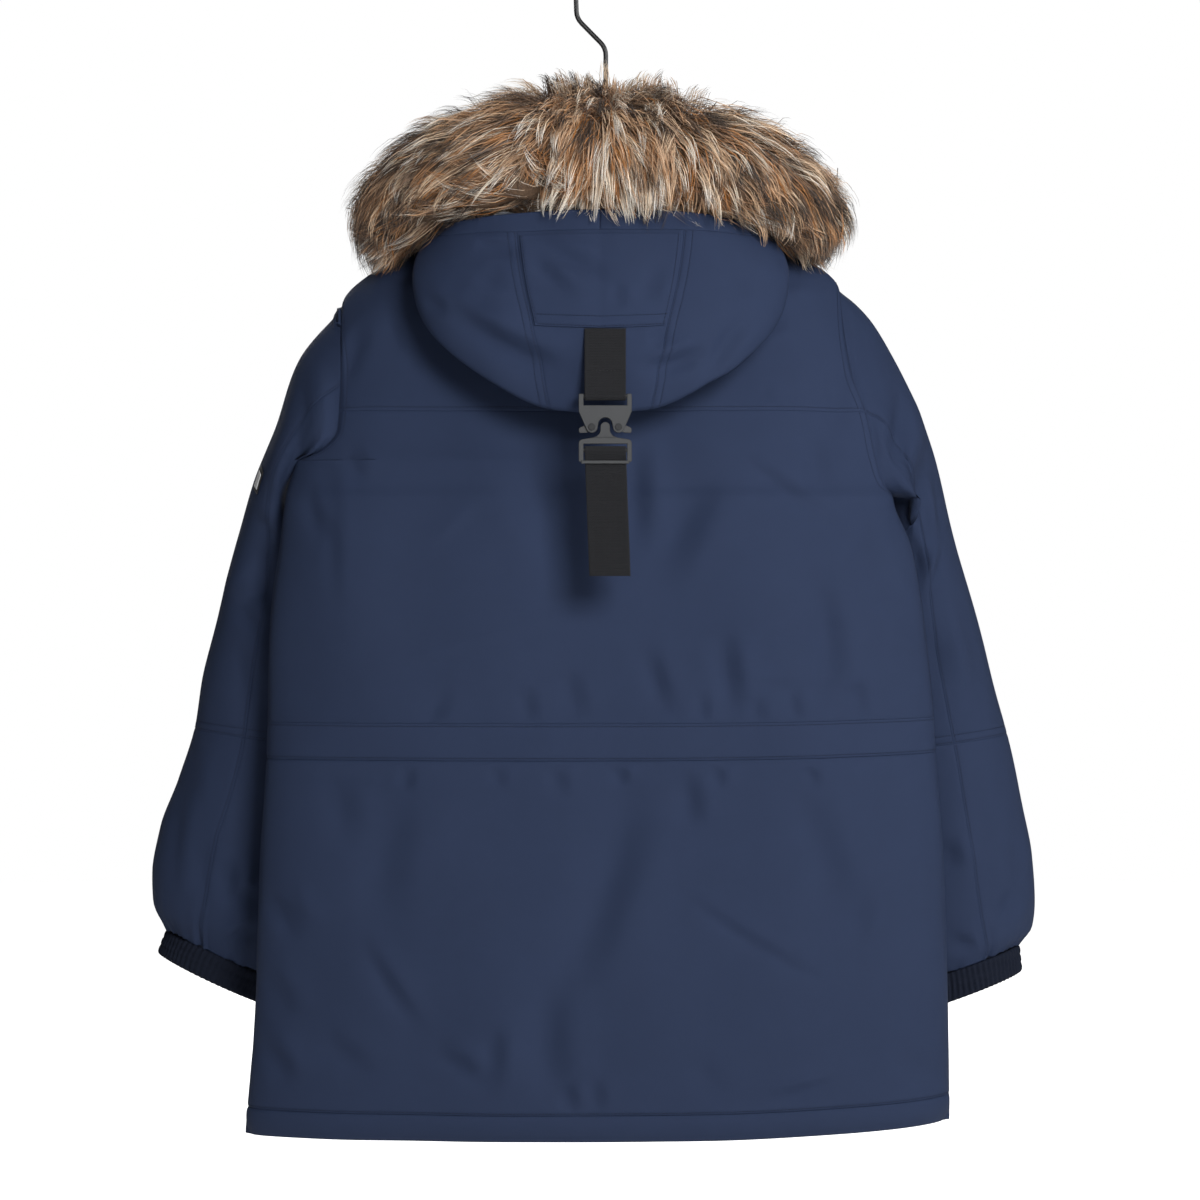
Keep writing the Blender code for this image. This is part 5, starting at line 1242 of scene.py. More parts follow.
def sleeve_piece(name, side, top, low, first, last, step, stitched):
    surface = sleeve_surface(side)
    if side == "left":
        first, last = last, first
        swap = {"first": "last", "last": "first", "top": "top", "low": "low"}
        stitched = [(swap[edge], distance) for edge, distance in stitched]
    cols = col_places(surface, (top + low) / 2, first, last, step)
    rows = row_places(surface, (first + last) / 2, top, low, step)
    points, normals = with_normals(surface, rows, cols)
    near = ease(1 - rows / 0.35)[:, None, None]
    hole = armhole(side, np.broadcast_to(cols, points.shape[:2]))[1]
    normals = unit(normals * (1 - near) + hole * near)
    outer = sewn(points, normals, ALL_SIDES, stitched)
    obj = shell(name, outer, outer - normals * WALL, cloth)
    note_sheet(name, obj, outer)


for side in ("left", "right"):
    seam, count = SLEEVE_SEAM[side], sleeve_count(side)
    final = len(LEFT_SLEEVE) - 1
    elbow_rows = [("low", distance) for distance in DOUBLE]
    seam_rows = [("first", 2.4), ("last", 2.4)]
    over = (-seam, seam, SLEEVE_STEP)
    sleeve_piece("sleeve_upper_" + side, side, 0, ELBOW_RING, *over, elbow_rows + seam_rows)
    sleeve_piece("sleeve_lower_" + side, side, ELBOW_RING, final, *over, seam_rows)
    under = (seam, count - seam, UNDER_STEP)
    sleeve_piece("sleeve_under_upper_" + side, side, 0, ELBOW_RING, *under, elbow_rows)
    sleeve_piece("sleeve_under_lower_" + side, side, ELBOW_RING, final, *under, ())
sew("sleeve_stitches", thread)

# %% [markdown]
# ## The cuffs
# A cuff is a tube of knitted-looking pleats: elastic inside draws the cloth in, and the cloth
# answers with ribs as fine as the elastic is strong. Each rib is a wave of the surface itself,
# eight columns of the grid wide, so the exported cuff has them too. Their depth wanders a little
# round the wrist.

# %% The cuffs
CUFF_ROWS = 15
RIBS = 66
RIB_PARTS = 8  # columns of the grid to one rib
RIB_DEPTH = 1.5
NIPS = (0.34, 0.67)  # shares of the cuff's height where its elastic is sewn through
NIP_DEPTH = 0.9
CUFF_SLIM = 0.5  # the cuff is a little slimmer than its ribs' tops
CUFF_END = 0.1  # share of its height over which each edge rolls in
CUFF_ROLL = 1.2


def cuff_surface(side):
    table = LEFT_CUFF if side == "left" else RIGHT_CUFF
    sign = -1 if side == "left" else 1

    def surface(t, angle):
        at = np.clip(t, 0, len(table) - 1)
        plain_points = mirrored(ring_points(table, at, sign * angle), side)
        step = 1e-3
        across = mirrored(ring_points(table, at, sign * (angle + step)), side) - plain_points
        below, above = np.minimum(at + step, len(table) - 1), np.maximum(at - step, 0)
        low = mirrored(ring_points(table, below, sign * angle), side)
        high = mirrored(ring_points(table, above, sign * angle), side)
        normal = unit(np.cross(across, low - high))
        share = at / (len(table) - 1)
        wander = 0.5 * np.sin(3 * angle + 4 * share) + 0.35 * np.sin(7 * angle - 3 * share + 1.3)
        rib = np.cos(RIBS * angle + wander + 0.8 * share)
        uneven = 0.75 + 0.25 * np.sin(5 * angle + 9 * share)
        nip = sum(np.exp(-(((share - place) / 0.05) ** 2)) for place in NIPS)
        height = RIB_DEPTH / 2 * rib * uneven - NIP_DEPTH * nip - CUFF_SLIM
        ends = (1 - ease(share / CUFF_END)) + (1 - ease((1 - share) / CUFF_END))
        height -= CUFF_ROLL * ends
        return plain_points + normal * height[..., None]

    return surface


for side in ("left", "right"):
    name = "cuff_" + side
    table = LEFT_CUFF if side == "left" else RIGHT_CUFF
    spans = RIBS * RIB_PARTS
    angles = np.arange(spans) * 2 * math.pi / spans
    rows = np.linspace(0, len(table) - 1, CUFF_ROWS)
    points, normals = with_normals(cuff_surface(side), rows, angles)
    flat = mirrored(ring_points(table, rows[:, None], (-1 if side == "left" else 1) * angles), side)
    across = np.roll(flat, -1, 1) - np.roll(flat, 1, 1)
    down = np.gradient(flat, axis=0)
    inner = flat - unit(np.cross(across, down)) * CUFF_WALL
    obj = shell(name, points, inner, rib_cloth, around=True)
    note_sheet(name, obj, points)

# %% [markdown]
# ## The hood's surface
# The hood lies back over the shoulders as a half-open bag. Round the neck it is a set of profiles,
# each in its own half-plane: from the edge of the opening over the belly and the fold, back up
# under it, and down to the neck seam. u runs from -1 to 1 round the neck, v from the opening (0) to
# the seam (1).

# %% The hood's surface
COLUMNS = 200  # straight stretches round the neckline, to the nearest
Profile = namedtuple(
    "Profile", "angle edge_r edge_z belly_r belly_z fold_r fold_z under_r under_z"
)
HOOD = rows_of(
    Profile,
    (0, 118, -247, 152, -345, 134, -440, 110, -350),
    (20, 126, -248, 158, -343, 140, -434, 116, -346),
    (40, 148, -251, 178, -334, 166, -405, 136, -334),
    (60, 166, -257, 199, -310, 188, -352, 152, -306),
    (80, 150, -246, 162, -260, 158, -272, 138, -270),
    (100, 138, -242, 142, -254, 138, -266, 124, -268),
    (125, 114, -240, 113, -252, 107, -264, 96, -272),
    (150, 92, -238, 90, -254, 85, -268, 78, -278), (180, 78, -238, 77, -254, 74, -268, 70, -280),
)  # fmt: skip
PROFILE_STOPS = (0.0, 0.3, 0.56, 0.76, 0.93, 1.0)  # edge, belly, fold, under, stand, neck seam
STAND = 9.0  # height that the hood rises from the neck seam before it falls over
PANEL_ANGLE = (34.0, 19.0)  # half angle of the centre panel at the edge and at the fold
PANEL_U = 0.25
EDGE_BAND = 0.06  # share of the profile that the band along the opening takes
HOOD_CLEARANCE = 2.0
RIDGE_CLEARANCE = 4.0  # more of it over the shoulder line, which is round
RIDGE_SPREAD = 30.0
MOST_RISE = 120.0  # mm, the furthest that the hood is lifted off the torso
HOOD_WALL = 3.0
PATCH_TOP = 0.075
PATCH_LOW = 0.338
PATCH_SHARE = 0.97  # of the centre panel's width
PATCH_WALL = 1.2
LAY_GAP = 0.4  # between a panel and what is sewn on it


def above_torso(points, gap):
    """Moves points that are in the torso's back or shoulders up and out until they clear it."""
    x, y, z = np.moveaxis(points, -1, 0)
    face = np.where(y > NECK_Y, 1.0, -1.0)
    slope = np.clip((ridge_z(x) - z) / SHOULDER_ROUND, 0, 1) * math.pi / 2

    def outside(run):
        new_y = y + face * np.sin(slope) * run
        new_z = z + np.cos(slope) * run
        full_z = np.minimum(new_z, ridge_z(x) - SHOULDER_ROUND)
        side_y = column(TORSO, "z", "side_y", new_z)
        back = torso_y(1, x, full_z) - side_y
        front = side_y - torso_y(-1, x, full_z)
        wide = np.abs(new_y - side_y) / (np.where(face > 0, back, front) + gap)
        tall = (new_z - ridge_z(x) + SHOULDER_ROUND) / (SHOULDER_ROUND + gap)
        return wide**2 + np.maximum(tall, 0) ** 2 >= 1

    high = bisected(outside, np.zeros(x.shape), np.full(x.shape, MOST_RISE))
    run = np.where(outside(np.zeros(x.shape)), 0.0, high)
    return np.stack([x, y + face * np.sin(slope) * run, z + np.cos(slope) * run], -1)


def neck_seam(angle):
    """Points of the torso's neckline, on the straight stretches between its columns."""
    count = int(round(COLUMNS / 2 * NECK_U))
    turn = np.linspace(0, math.pi / 2, count + 1)
    knots = []
    for face, turns in ((1, turn), (-1, turn[::-1][1:])):
        x, z = top_edge(face, turns / (math.pi / 2) * NECK_U)
        knots.append(np.stack([x, torso_y(face, x, z), z], -1))
    knots = np.concatenate(knots)
    bearing = np.arctan2(knots[:, 0], knots[:, 1] - NECK_Y)
    at = np.abs(np.asarray(angle, float))
    found = [np.interp(at, bearing, knots[:, axis]) for axis in range(3)]
    return np.stack([found[0] * np.where(angle < 0, -1, 1), found[1], found[2]], -1)


def through(v, values):
    """A Catmull-Rom curve through one value for each of PROFILE_STOPS, which may vary by column."""
    stops = np.array(PROFILE_STOPS)
    values = np.stack([np.broadcast_to(value, v.shape) for value in values], -1)
    ahead = (values[..., 2:] - values[..., :-2]) / (stops[2:] - stops[:-2])
    first = (values[..., 1:2] - values[..., 0:1]) / (stops[1] - stops[0])
    final = (values[..., -1:] - values[..., -2:-1]) / (stops[-1] - stops[-2])
    tangents = np.concatenate([first, ahead, final], -1)
    k = np.clip(np.searchsorted(stops, v, side="right") - 1, 0, len(stops) - 2)
    step = stops[k + 1] - stops[k]
    t = (v - stops[k]) / step

    def pick(table, index):
        return np.take_along_axis(table, index[..., None], -1)[..., 0]

    ends = (pick(values, k), pick(values, k + 1))
    return curve_piece(t, *ends, pick(tangents, k) * step, pick(tangents, k + 1) * step)


def hood_angle(u, v):
    """The bearing of hood column u on row v: the centre panel narrows towards the fold."""
    panel = smooth(v, (0.0, 0.56, 1.0), (*PANEL_ANGLE, 40.0))
    across = np.abs(u)
    inside = panel * across / PANEL_U
    beside = panel + (180 - panel) * (across - PANEL_U) / (1 - PANEL_U)
    return np.radians(np.where(across < PANEL_U, inside, beside)) * np.where(u < 0, -1, 1)


def hood(u, v):
    """Outer surface of the hood: u from -1 to 1 round the neck, v 0 opening to 1 neck seam."""
    u, v = np.broadcast_arrays(np.asarray(u, float), np.asarray(v, float))
    angle = hood_angle(u, v)
    degrees = np.degrees(np.abs(angle))
    seam = neck_seam(angle)
    seam_r = np.hypot(seam[..., 0], seam[..., 1])
    places = ("edge", "belly", "fold", "under")
    radii = [column(HOOD, "angle", place + "_r", degrees) for place in places]
    levels = [column(HOOD, "angle", place + "_z", degrees) for place in places]
    r = through(v, [*radii, seam_r + STAND / 4, seam_r])
    z = through(v, [*levels, seam[..., 2] + STAND, seam[..., 2]])
    bearing = angle + (np.arctan2(seam[..., 0], seam[..., 1]) - angle) * ease((v - 0.8) / 0.2)
    points = np.stack([r * np.sin(bearing), r * np.cos(bearing), z], -1)
    gap = HOOD_CLEARANCE + HOOD_WALL * (1 - ease((v - 0.56) / 0.2))
    gap = gap + RIDGE_CLEARANCE * np.exp(-(((points[..., 1] - NECK_Y) / RIDGE_SPREAD) ** 2))
    free = above_torso(points, gap)
    return points + (free - points) * (1 - ease((v - 0.93) / 0.07))[..., None]

# %% [markdown]
# ## The hood's pieces
# A centre panel runs over the middle, narrower towards the fold, with a side panel on each side of
# it, a band along the opening where the fur is fastened, and a square patch that takes the strap.
# Each side panel has two rows of stitches beside the centre panel.

# %% The hood's pieces
HOOD_FOLDS = folds(
    "all",
    (121, -279, 68, -289, 0, 5, 2.0, -1), (70, -284, -14, -318, -5, 6, 2.8, -1),
    (68, -292, 22, -331, 1, 5, 2.0, -1), (134, -324, 84, -343, 1, 5, 1.4, -1),
    (148, -337, 20, -405, 7, 8, 4.8, -1), (-32, -399, -106, -375, 5, 6, 3.8, -1),
    (-141, -336, -87, -418, 0, 6, 2.6, -1), (-67, -358, -42, -379, 0, 5, 1.6, 1),
    (-53, -300, -39, -339, 0, 6, 1.2, -1), (-11, -316, -21, -343, 0, 5, 1.3, -1),
    (168, -326, 140, -345, 0, 5, 1.4, -1), (-120, -290, -150, -330, 4, 9, 1.4, -1),
    (110, -300, 92, -330, 3, 9, 1.4, 1),
)  # fmt: skip
HOOD_STEP = 4.4
BAND_STEP = 7.0
STRAP_X = -4.8  # the strap's middle line
UNDER_STRAP = 26.0  # mm to each side of it where the strap presses the folds flat
BESIDE_STRAP = 3.0  # the most that a fold rises where that begins
HOOD_FRONT_Y = 20.0  # the folds seen from behind fade out from here to the front
COLLAR_FOLDS = folds(
    "all",
    (70, -250, 110, -262, 2, 8, 1.4, 1), (-64, -248, -104, -266, -2, 7, 1.4, -1),
)  # fmt: skip


def hood_surface(zip_side=0, extra=None):
    """Points of the hood with folds. On a side panel, u runs from the centre seam to the zip."""

    def surface(v, u):
        v = np.clip(v, 0, 1)
        u = hood_column(v, u) * zip_side if zip_side else u
        points, normal = bare_hood(v, u)
        x, z = points[..., 0], points[..., 2]
        behind = ease(points[..., 1] / HOOD_FRONT_Y - 1)
        out = ease((0.66 - v) / 0.12)  # the cloth under the fold stays smooth and clear
        height = (fold_height(HOOD_FOLDS, "hood", x, z) + drift(points)) * behind * out
        height += fold_height(COLLAR_FOLDS, "collar", x, z) * (1 - behind)
        pressed = ease((UNDER_STRAP - np.abs(x - STRAP_X)) / 6) * ease((v - 0.3) / 0.05)
        height = np.where(pressed > 0, np.minimum(height, BESIDE_STRAP * (1 - pressed)), height)
        height = height * ease((1 - v) / 0.05)
        if extra is not None:
            height = height + extra
        return points + normal * height[..., None]

    return surface


def bare_hood(v, u):
    """Points and outward normals of the smooth hood."""
    step = 1e-3
    across = hood(u + step, v) - hood(u - step, v)
    along = hood(u, np.minimum(v + step, 1)) - hood(u, np.maximum(v - step, 0))
    return hood(u, v), unit(np.cross(across, along))


HOOD_STOPS = np.linspace(0.0, 1.0, 201)
HOOD_ZIP = column_beside_zip(lambda u, v: hood(u, v)[..., 0], HOOD_STOPS, 1.0, 0.8)


def hood_column(v, share):
    """The column at a share of the way from the centre panel's seam to the zip."""
    return PANEL_U + (np.interp(v, HOOD_STOPS, HOOD_ZIP) - PANEL_U) * share


def hood_piece(name, surface, rows, cols, sides, stitched=()):
    obj, outer = spanned(name, surface, rows, cols, cloth, sides, stitched, wall=HOOD_WALL)
    note_sheet(name, obj, outer)


whole = hood_surface()
rows = row_places(whole, 0.3, EDGE_BAND, 1.0, HOOD_STEP)
cols = col_places(whole, 0.3, -PANEL_U, PANEL_U, HOOD_STEP)
hood_piece("hood_centre", whole, rows, cols, ALL_SIDES)
for side, sign in (("left", 1), ("right", -1)):
    surface = hood_surface(sign)
    ends = (0, 1) if side == "left" else (1, 0)
    seam_side, zip_side = ("first", "last") if side == "left" else ("last", "first")
    across = col_places(surface, 0.4, *ends, HOOD_STEP, side == "left", side != "left")
    stitched = [*((seam_side, distance) for distance in DOUBLE), (zip_side, ZIP_ROW)]
    hood_piece("hood_" + side, surface, rows, across, ("top", "low", seam_side), stitched)

    def band(v, s, sign=sign):
        return whole(v, hood_column(v, 1.0) * s * sign)

    cols = col_places(band, EDGE_BAND / 2, *ends, BAND_STEP, False, False)
    band_rows = row_places(whole, 0.3, 0.0, EDGE_BAND, 3.0, False, False)
    hood_piece("hood_band_" + side, band, band_rows, cols, ("low", seam_side))

# %% [markdown]
# ## The patch
# The patch is a second layer, cut from the same cloth and laid on the centre panel. It follows the
# panel at a constant height, so it takes its folds along, and it is sewn down with two rows of
# stitches.

# %% The patch
patch_surface = hood_surface(extra=LAY_GAP + PATCH_WALL)
half = PANEL_U * PATCH_SHARE
cols = col_places(patch_surface, 0.2, -half, half, HOOD_STEP)
rows = row_places(patch_surface, 0.0, PATCH_TOP, PATCH_LOW, HOOD_STEP)
points, normals = with_normals(patch_surface, rows, cols)
reach = reaches(points)
edge = np.minimum.reduce([reach[side] for side in ("low", "first", "last")])
points = points - normals * (0.5 * (1 - np.clip(edge / 1.6, 0, 1)) ** 2)[..., None]
for side, distance in (("low", 1.8), ("low", 11.0), ("first", 2.0), ("last", 2.0)):
    groove = 0.3 * np.exp(-(((reach[side] - distance) / 1.0) ** 2))
    points = points - normals * groove[..., None]
    stitch_lines.append(line_at(points, normals, reach[side], side, distance))
obj = shell("hood_patch", points, points - normals * (PATCH_WALL - 0.2), cloth)
note_sheet("hood_patch", obj, points)
sew("hood_stitches", thread)

# %% [markdown]
# ## The strap
# The strap is ribbed webbing: stiff crosswise ribs between two plain selvedges. The upper part is
# sewn under the patch, lies down the hood and turns round the buckle's bar; the lower part hangs
# doubled from the buckle's frame, its end folded and sewn. A flat band modelled along its path
# keeps the ribs even. The real one is printed; here its face stays plain.

# %% The strap
Bar = namedtuple("Bar", "z r")
STRAP_SLANT = -4.3
STRAP_HALF = 19.0
STRAP_WALL = 1.5
STRAP_Y = 156.0
STRAP_END_Z = -588.0
UPPER_FOLD_Z = -386.0
UPPER_STITCH_Z = -400.0
LOWER_STITCH = 6.5  # mm from the strap's end to the stitches across it
LAYER_OFFSET = 0.95
BUCKLE_TOP_Z = -420.6
UPPER_BAR = Bar(-2.3, 2.1)
LOOP_BAR = Bar(-51.9, 2.0)
EDGE_BAR_Z = -61.3
STRAP_RUSH = 1.3
RIB_PITCH = 2.5
RIB_RISE = 0.38
SELVEDGE = 2.2
PATH_STEP = 0.42 * COARSE


def arc(y, z, r, start, stop, steps=24):
    turn = np.radians(np.linspace(start, stop, steps + 1))
    return np.stack([y + r * np.cos(turn), z + r * np.sin(turn)], -1)


def even_path(path, step):
    """The path with points a step apart."""
    path = np.asarray(path, float)
    run = runs(path[:, None], 0)[:, 0]
    keep = np.concatenate([[True], np.diff(run) > 1e-6])
    at = np.linspace(0, run[-1], int(run[-1] / step) + 1)
    return np.stack([smooth(at, run[keep], path[keep, k]) for k in range(path.shape[1])], -1), at


def strap_piece(name, path, slant=lambda z: 0 * z, sewn_at=()):
    """A ribbed band along a path of (y, z), closed at both ends and stitched across."""
    path, at = even_path(path, PATH_STEP)
    along = unit(np.gradient(path, axis=0))
    normal = np.stack([0 * at, along[:, 1], -along[:, 0]], -1)
    middle = np.insert(path, 0, STRAP_X + slant(path[:, 1]), axis=1)
    across = np.concatenate([[-1, -0.985, -0.93], np.linspace(-0.885, 0.885, 9), [0.93, 0.985, 1]])
    width = across * STRAP_HALF
    thin = np.where(np.abs(across) > 0.99, 0.35, np.where(np.abs(across) > 0.98, 0.85, 1))
    thin = STRAP_WALL / 2 * thin
    ribbed = ease((STRAP_HALF - SELVEDGE - np.abs(width)) / 0.8)
    waves = np.abs(np.sin(math.pi * at / RIB_PITCH)) ** 0.7 - 1
    waves = waves * ease(at / 3) * ease((at[-1] - at) / 3)
    rise = RIB_RISE * waves[:, None] * ribbed[None] + 0.05
    groove = sum(0.35 * np.exp(-(((at - place) / 0.9) ** 2)) for place in sewn_at) + 0 * at
    skins = []
    for side in (1, -1):
        lift = thin[None] * np.ones((len(at), 1)) + rise - (groove[:, None] if side > 0 else 0)
        skin = middle[:, None] + side * normal[:, None] * lift[..., None]
        skin[..., 0] += width
        skins.append(skin)
    rings = np.concatenate([skins[0], skins[1][:, ::-1]], 1)
    rows, cols = rings.shape[:2]
    faces = grid_faces(rows, cols, cols)
    half = cols // 2
    for start in (0, (rows - 1) * cols):
        for k in range(half - 1):
            ring = [start + k, start + k + 1, start + cols - 2 - k, start + cols - 1 - k]
            faces.append(ring if start else ring[::-1])
    points = rings.reshape(-1, 3)
    grain = np.stack([rings[..., 0], at[:, None] + 0 * rings[..., 0]], -1).reshape(-1, 2) * MM
    faces = outward(points, faces)
    obj = mesh_piece(name + "_webbing", points, faces, webbing, grain=grain)
    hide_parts(name)
    for place in sewn_at:
        k = int(np.argmin(np.abs(at - place)))
        line = skins[0][k]
        line = line[np.abs(width) < STRAP_HALF - 1.5]
        stitch_lines.append(np.concatenate([line, np.repeat(normal[k : k + 1], len(line), 0)], -1))
    sheets[name] = (obj, 2 * STRAP_HALF * MM, at[-1] * MM, 2 * STRAP_HALF * at[-1] * MM * MM)
    print(name, round(at[-1], 1), "mm of webbing,", len(faces), "faces")
    return obj


top = hood(np.zeros(1), np.full(1, PATCH_LOW))[0]
start_y = top[1] + LAY_GAP + STRAP_WALL / 2
start_z = top[2] - LAY_GAP
turn_r = UPPER_BAR.r + SEAM_GAP + STRAP_WALL / 2
bar_z = BUCKLE_TOP_Z + UPPER_BAR.z
share = np.linspace(0, 1, 40)[:-1]
down_y = start_y + (STRAP_Y + turn_r - start_y) * ease(share * STRAP_RUSH)
down = np.stack([down_y, start_z + (bar_z - start_z) * share], -1)
turn = arc(STRAP_Y, bar_z, turn_r, 0, -180)
up = [(STRAP_Y - turn_r, bar_z + (UPPER_FOLD_Z - bar_z) * t) for t in np.linspace(0.1, 1, 12)]
path = np.concatenate([down, turn, up])[::-1]
whole = runs(path[:, None], 0)[-1, 0]
strap_piece("strap_upper", path, sewn_at=(whole - (start_z - UPPER_STITCH_Z),))

turn_r = LOOP_BAR.r + SEAM_GAP + STRAP_WALL / 2
bar_z = BUCKLE_TOP_Z + LOOP_BAR.z
narrow_z = BUCKLE_TOP_Z + EDGE_BAR_Z + 2.5
neck = [
    (turn_r - (turn_r - LAYER_OFFSET) * ease(t), bar_z + (narrow_z - bar_z) * t)
    for t in (0.2, 0.4, 0.6, 0.8)
]
side = np.array([*neck, *[(LAYER_OFFSET, z) for z in np.linspace(narrow_z, STRAP_END_Z, 30)]])
front = np.stack([STRAP_Y + side[:, 0], side[:, 1]], -1)
behind = np.stack([STRAP_Y - side[:, 0], side[:, 1]], -1)
path = np.concatenate([front[::-1], arc(STRAP_Y, bar_z, turn_r, 0, 180)[1:-1], behind])
strap_piece(
    "strap_lower",
    path[::-1],
    lambda z: STRAP_SLANT * np.clip((z - bar_z) / (STRAP_END_Z - bar_z), 0, 1),
    (runs(path[:, None], 0)[-1, 0] - LOWER_STITCH,),
)
sew("strap_stitches", strap_thread)

# %% [markdown]
# ## The zip
# The two fronts meet in a moulded zip. Its tapes lie a little below their faces, and its teeth are
# small wedges that reach past the middle by turns from the left and from the right.

# %% The zip
CHAIN_HALF = 3.2
CHAIN_RISE = 0.6
CHAIN_WALL = 2.3
TAPE_NEAR = 3.6
TAPE_DROP = 0.8
TAPE_WALL = 1.0
TAPE_TOP_V = 0.02
CHAIN_TOP_V = 0.14
TOOTH_PITCH = 1.5
TOOTH_EDGE = 0.2
Corner = namedtuple("Corner", "across along")
TOOTH = (
    Corner(-0.9, -0.4), Corner(-0.9, 0.4), Corner(0.5, 0.62),
    Corner(CHAIN_HALF, 0.5), Corner(CHAIN_HALF, -0.5), Corner(0.5, -0.62),
)  # fmt: skip


def zip_path(top_v, step):
    """Points, directions and normals up the middle of the fronts, from the hem to the collar."""
    q = np.linspace(0, 2, 240)
    v = np.linspace(1, top_v, 60)[1:]
    line = np.concatenate([torso(-1, front_column(q, 0.0), q), hood(hood_column(v, 1.0), v)])[:, 1:]
    path, _ = even_path(line, step)
    along = unit(np.gradient(path, axis=0))
    out = np.stack([0 * along[:, 0], -along[:, 1], along[:, 0]], -1)
    return np.insert(path, 0, 0.0, axis=1), np.insert(along, 0, 0.0, axis=1), out


path, along, out = zip_path(CHAIN_TOP_V, TOOTH_PITCH)
path, along, out = path[1:-1], along[1:-1], out[1:-1]
sign = np.where(np.arange(len(path)) % 2, 1.0, -1.0)
layers = ((0.0, CHAIN_RISE - CHAIN_WALL), (0.0, CHAIN_RISE - TOOTH_EDGE), (TOOTH_EDGE, CHAIN_RISE))
rings = []
for shrink, height in layers:
    for corner in TOOTH:
        x = corner.across - shrink * np.sign(corner.across - 1)
        z = corner.along - shrink * np.sign(corner.along)
        rings.append(path + np.outer(sign * x, (1, 0, 0)) + along * z + out * height)
points = np.stack(rings, 1)
one = [[0, 1, 2, 5], [2, 3, 4, 5], [17, 14, 13, 12], [17, 16, 15, 14]]
for low in (0, 6):
    one += [[low + k, low + (k + 1) % 6, low + 6 + (k + 1) % 6, low + 6 + k] for k in range(6)]
faces = []
for k in range(len(path)):
    first = outward(points[k], one)
    faces += [[18 * k + v for v in face] for face in first]
chain = mesh_piece("zip_teeth", points.reshape(-1, 3), faces, tooth_plastic)
chain.data.set_sharp_from_angle(angle=math.radians(40))
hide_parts("zip_chain")
print("zip:", len(path), "teeth over", round(len(path) * TOOTH_PITCH), "mm")

path, along, out = zip_path(TAPE_TOP_V, 5.0)
path, out = path[: len(path) // 2 * 2 - 1][::-1], out[: len(path) // 2 * 2 - 1][::-1]
for side, sign in (("left", 1), ("right", -1)):
    near, far = TAPE_NEAR, ZIP_HALF - SEAM_GAP / 2
    across = np.linspace(far, near, 7) if side == "left" else -np.linspace(near, far, 7)
    face = path[:, None] - out[:, None] * TAPE_DROP + across[None, :, None] * np.array([1.0, 0, 0])
    obj = shell("zip_tape_" + side, face, face - out[:, None] * TAPE_WALL, tape_cloth)
    note_sheet("zip_tape_" + side, obj, face)

# %% [markdown]
# ## The badge
# A small moulded badge is sewn on the outside of the left sleeve. It is left blank: a dark pad with
# a raised rim and a plain pale field.

# %% The badge
BADGE_T = (2.6, 3.0)
BADGE_C = (1.25, 1.95)
BADGE_LIFT = 0.8
BADGE_WALL = 1.0
BADGE_LINES = 13
FIELD = 0.68  # share of the badge that its pale field takes
badge_at = sleeve_surface("left")
lines = np.linspace(0, 1, BADGE_LINES)
for name, share, lift, finish in (
    ("sleeve_badge_pad", 1.0, BADGE_LIFT, badge_rubber),
    ("sleeve_badge_field", FIELD, BADGE_LIFT + 0.9, badge_field),
):
    shares = 0.5 + (lines - 0.5) * share
    t = BADGE_T[0] + (BADGE_T[1] - BADGE_T[0]) * shares
    c = BADGE_C[1] + (BADGE_C[0] - BADGE_C[1]) * shares
    points, normals = with_normals(badge_at, t, c)
    edge = np.minimum(lines, 1 - lines)
    rim = ease(np.minimum(edge[:, None], edge[None]) / 0.1)
    crown = BADGE_WALL * (0.55 + 0.45 * rim) if share == 1.0 else 0.55 * (0.5 + 0.5 * rim)
    outer = points + normals * (lift + crown)[..., None]
    inner = points + normals * lift
    both = np.concatenate([outer.reshape(-1, 3), inner[::2, ::2].reshape(-1, 3)])
    faces = outward(both, shell_faces(BADGE_LINES, BADGE_LINES, False))
    obj = mesh_piece(name, both, faces, finish)
    if share == 1.0:
        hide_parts("sleeve_badge")
print("badge:", 2 * len(faces), "faces")

# %% [markdown]
# ## The fur
# The trim is a strip of long-haired pelt round the hood's opening. Under it lies a core, the
# leather and the densest wool, which nobody sees through. The hair grows from the core in tufts:
# each tuft is one path from its root over the core to its tip, and its hairs start a little apart
# and draw together towards the tip. The pelt is combed outwards and down over the hood, with a
# crest along the top, and long waves sway the tufts to and fro. Each hair is a flat ribbon of a few
# faces, wide enough to read as a lock from across a room.

# %% The fur's core
Fur = namedtuple("Fur", "angle r z half_r half_z")
FUR = rows_of(
    Fur,
    (0, 106, -186, 48, 58), (25, 122, -187, 48, 56), (45, 160, -199, 45, 50),
    (60, 190, -218, 42, 44), (80, 203, -244, 36, 38), (100, 194, -244, 35, 37),
    (125, 163, -240, 34, 36), (150, 138, -236, 31, 34),
)  # fmt: skip
CORE_SHARE = 0.62
CORE_LOW = 0.26  # how much further the core reaches on its underside, down to the hood
CORE_ROWS = 121
CORE_SIDES = 40


def fur_point(bearing, turn, reach):
    """A point of the fur: bearing round the neck, turn round its section, reach 1 its skin."""
    at = {name: column(FUR, "angle", name, np.abs(np.degrees(bearing))) for name in Fur._fields}
    r = at["r"] + at["half_r"] * np.cos(turn) * reach
    z = at["z"] + at["half_z"] * np.sin(turn) * reach
    return np.stack([r * np.sin(bearing), r * np.cos(bearing), z], -1)


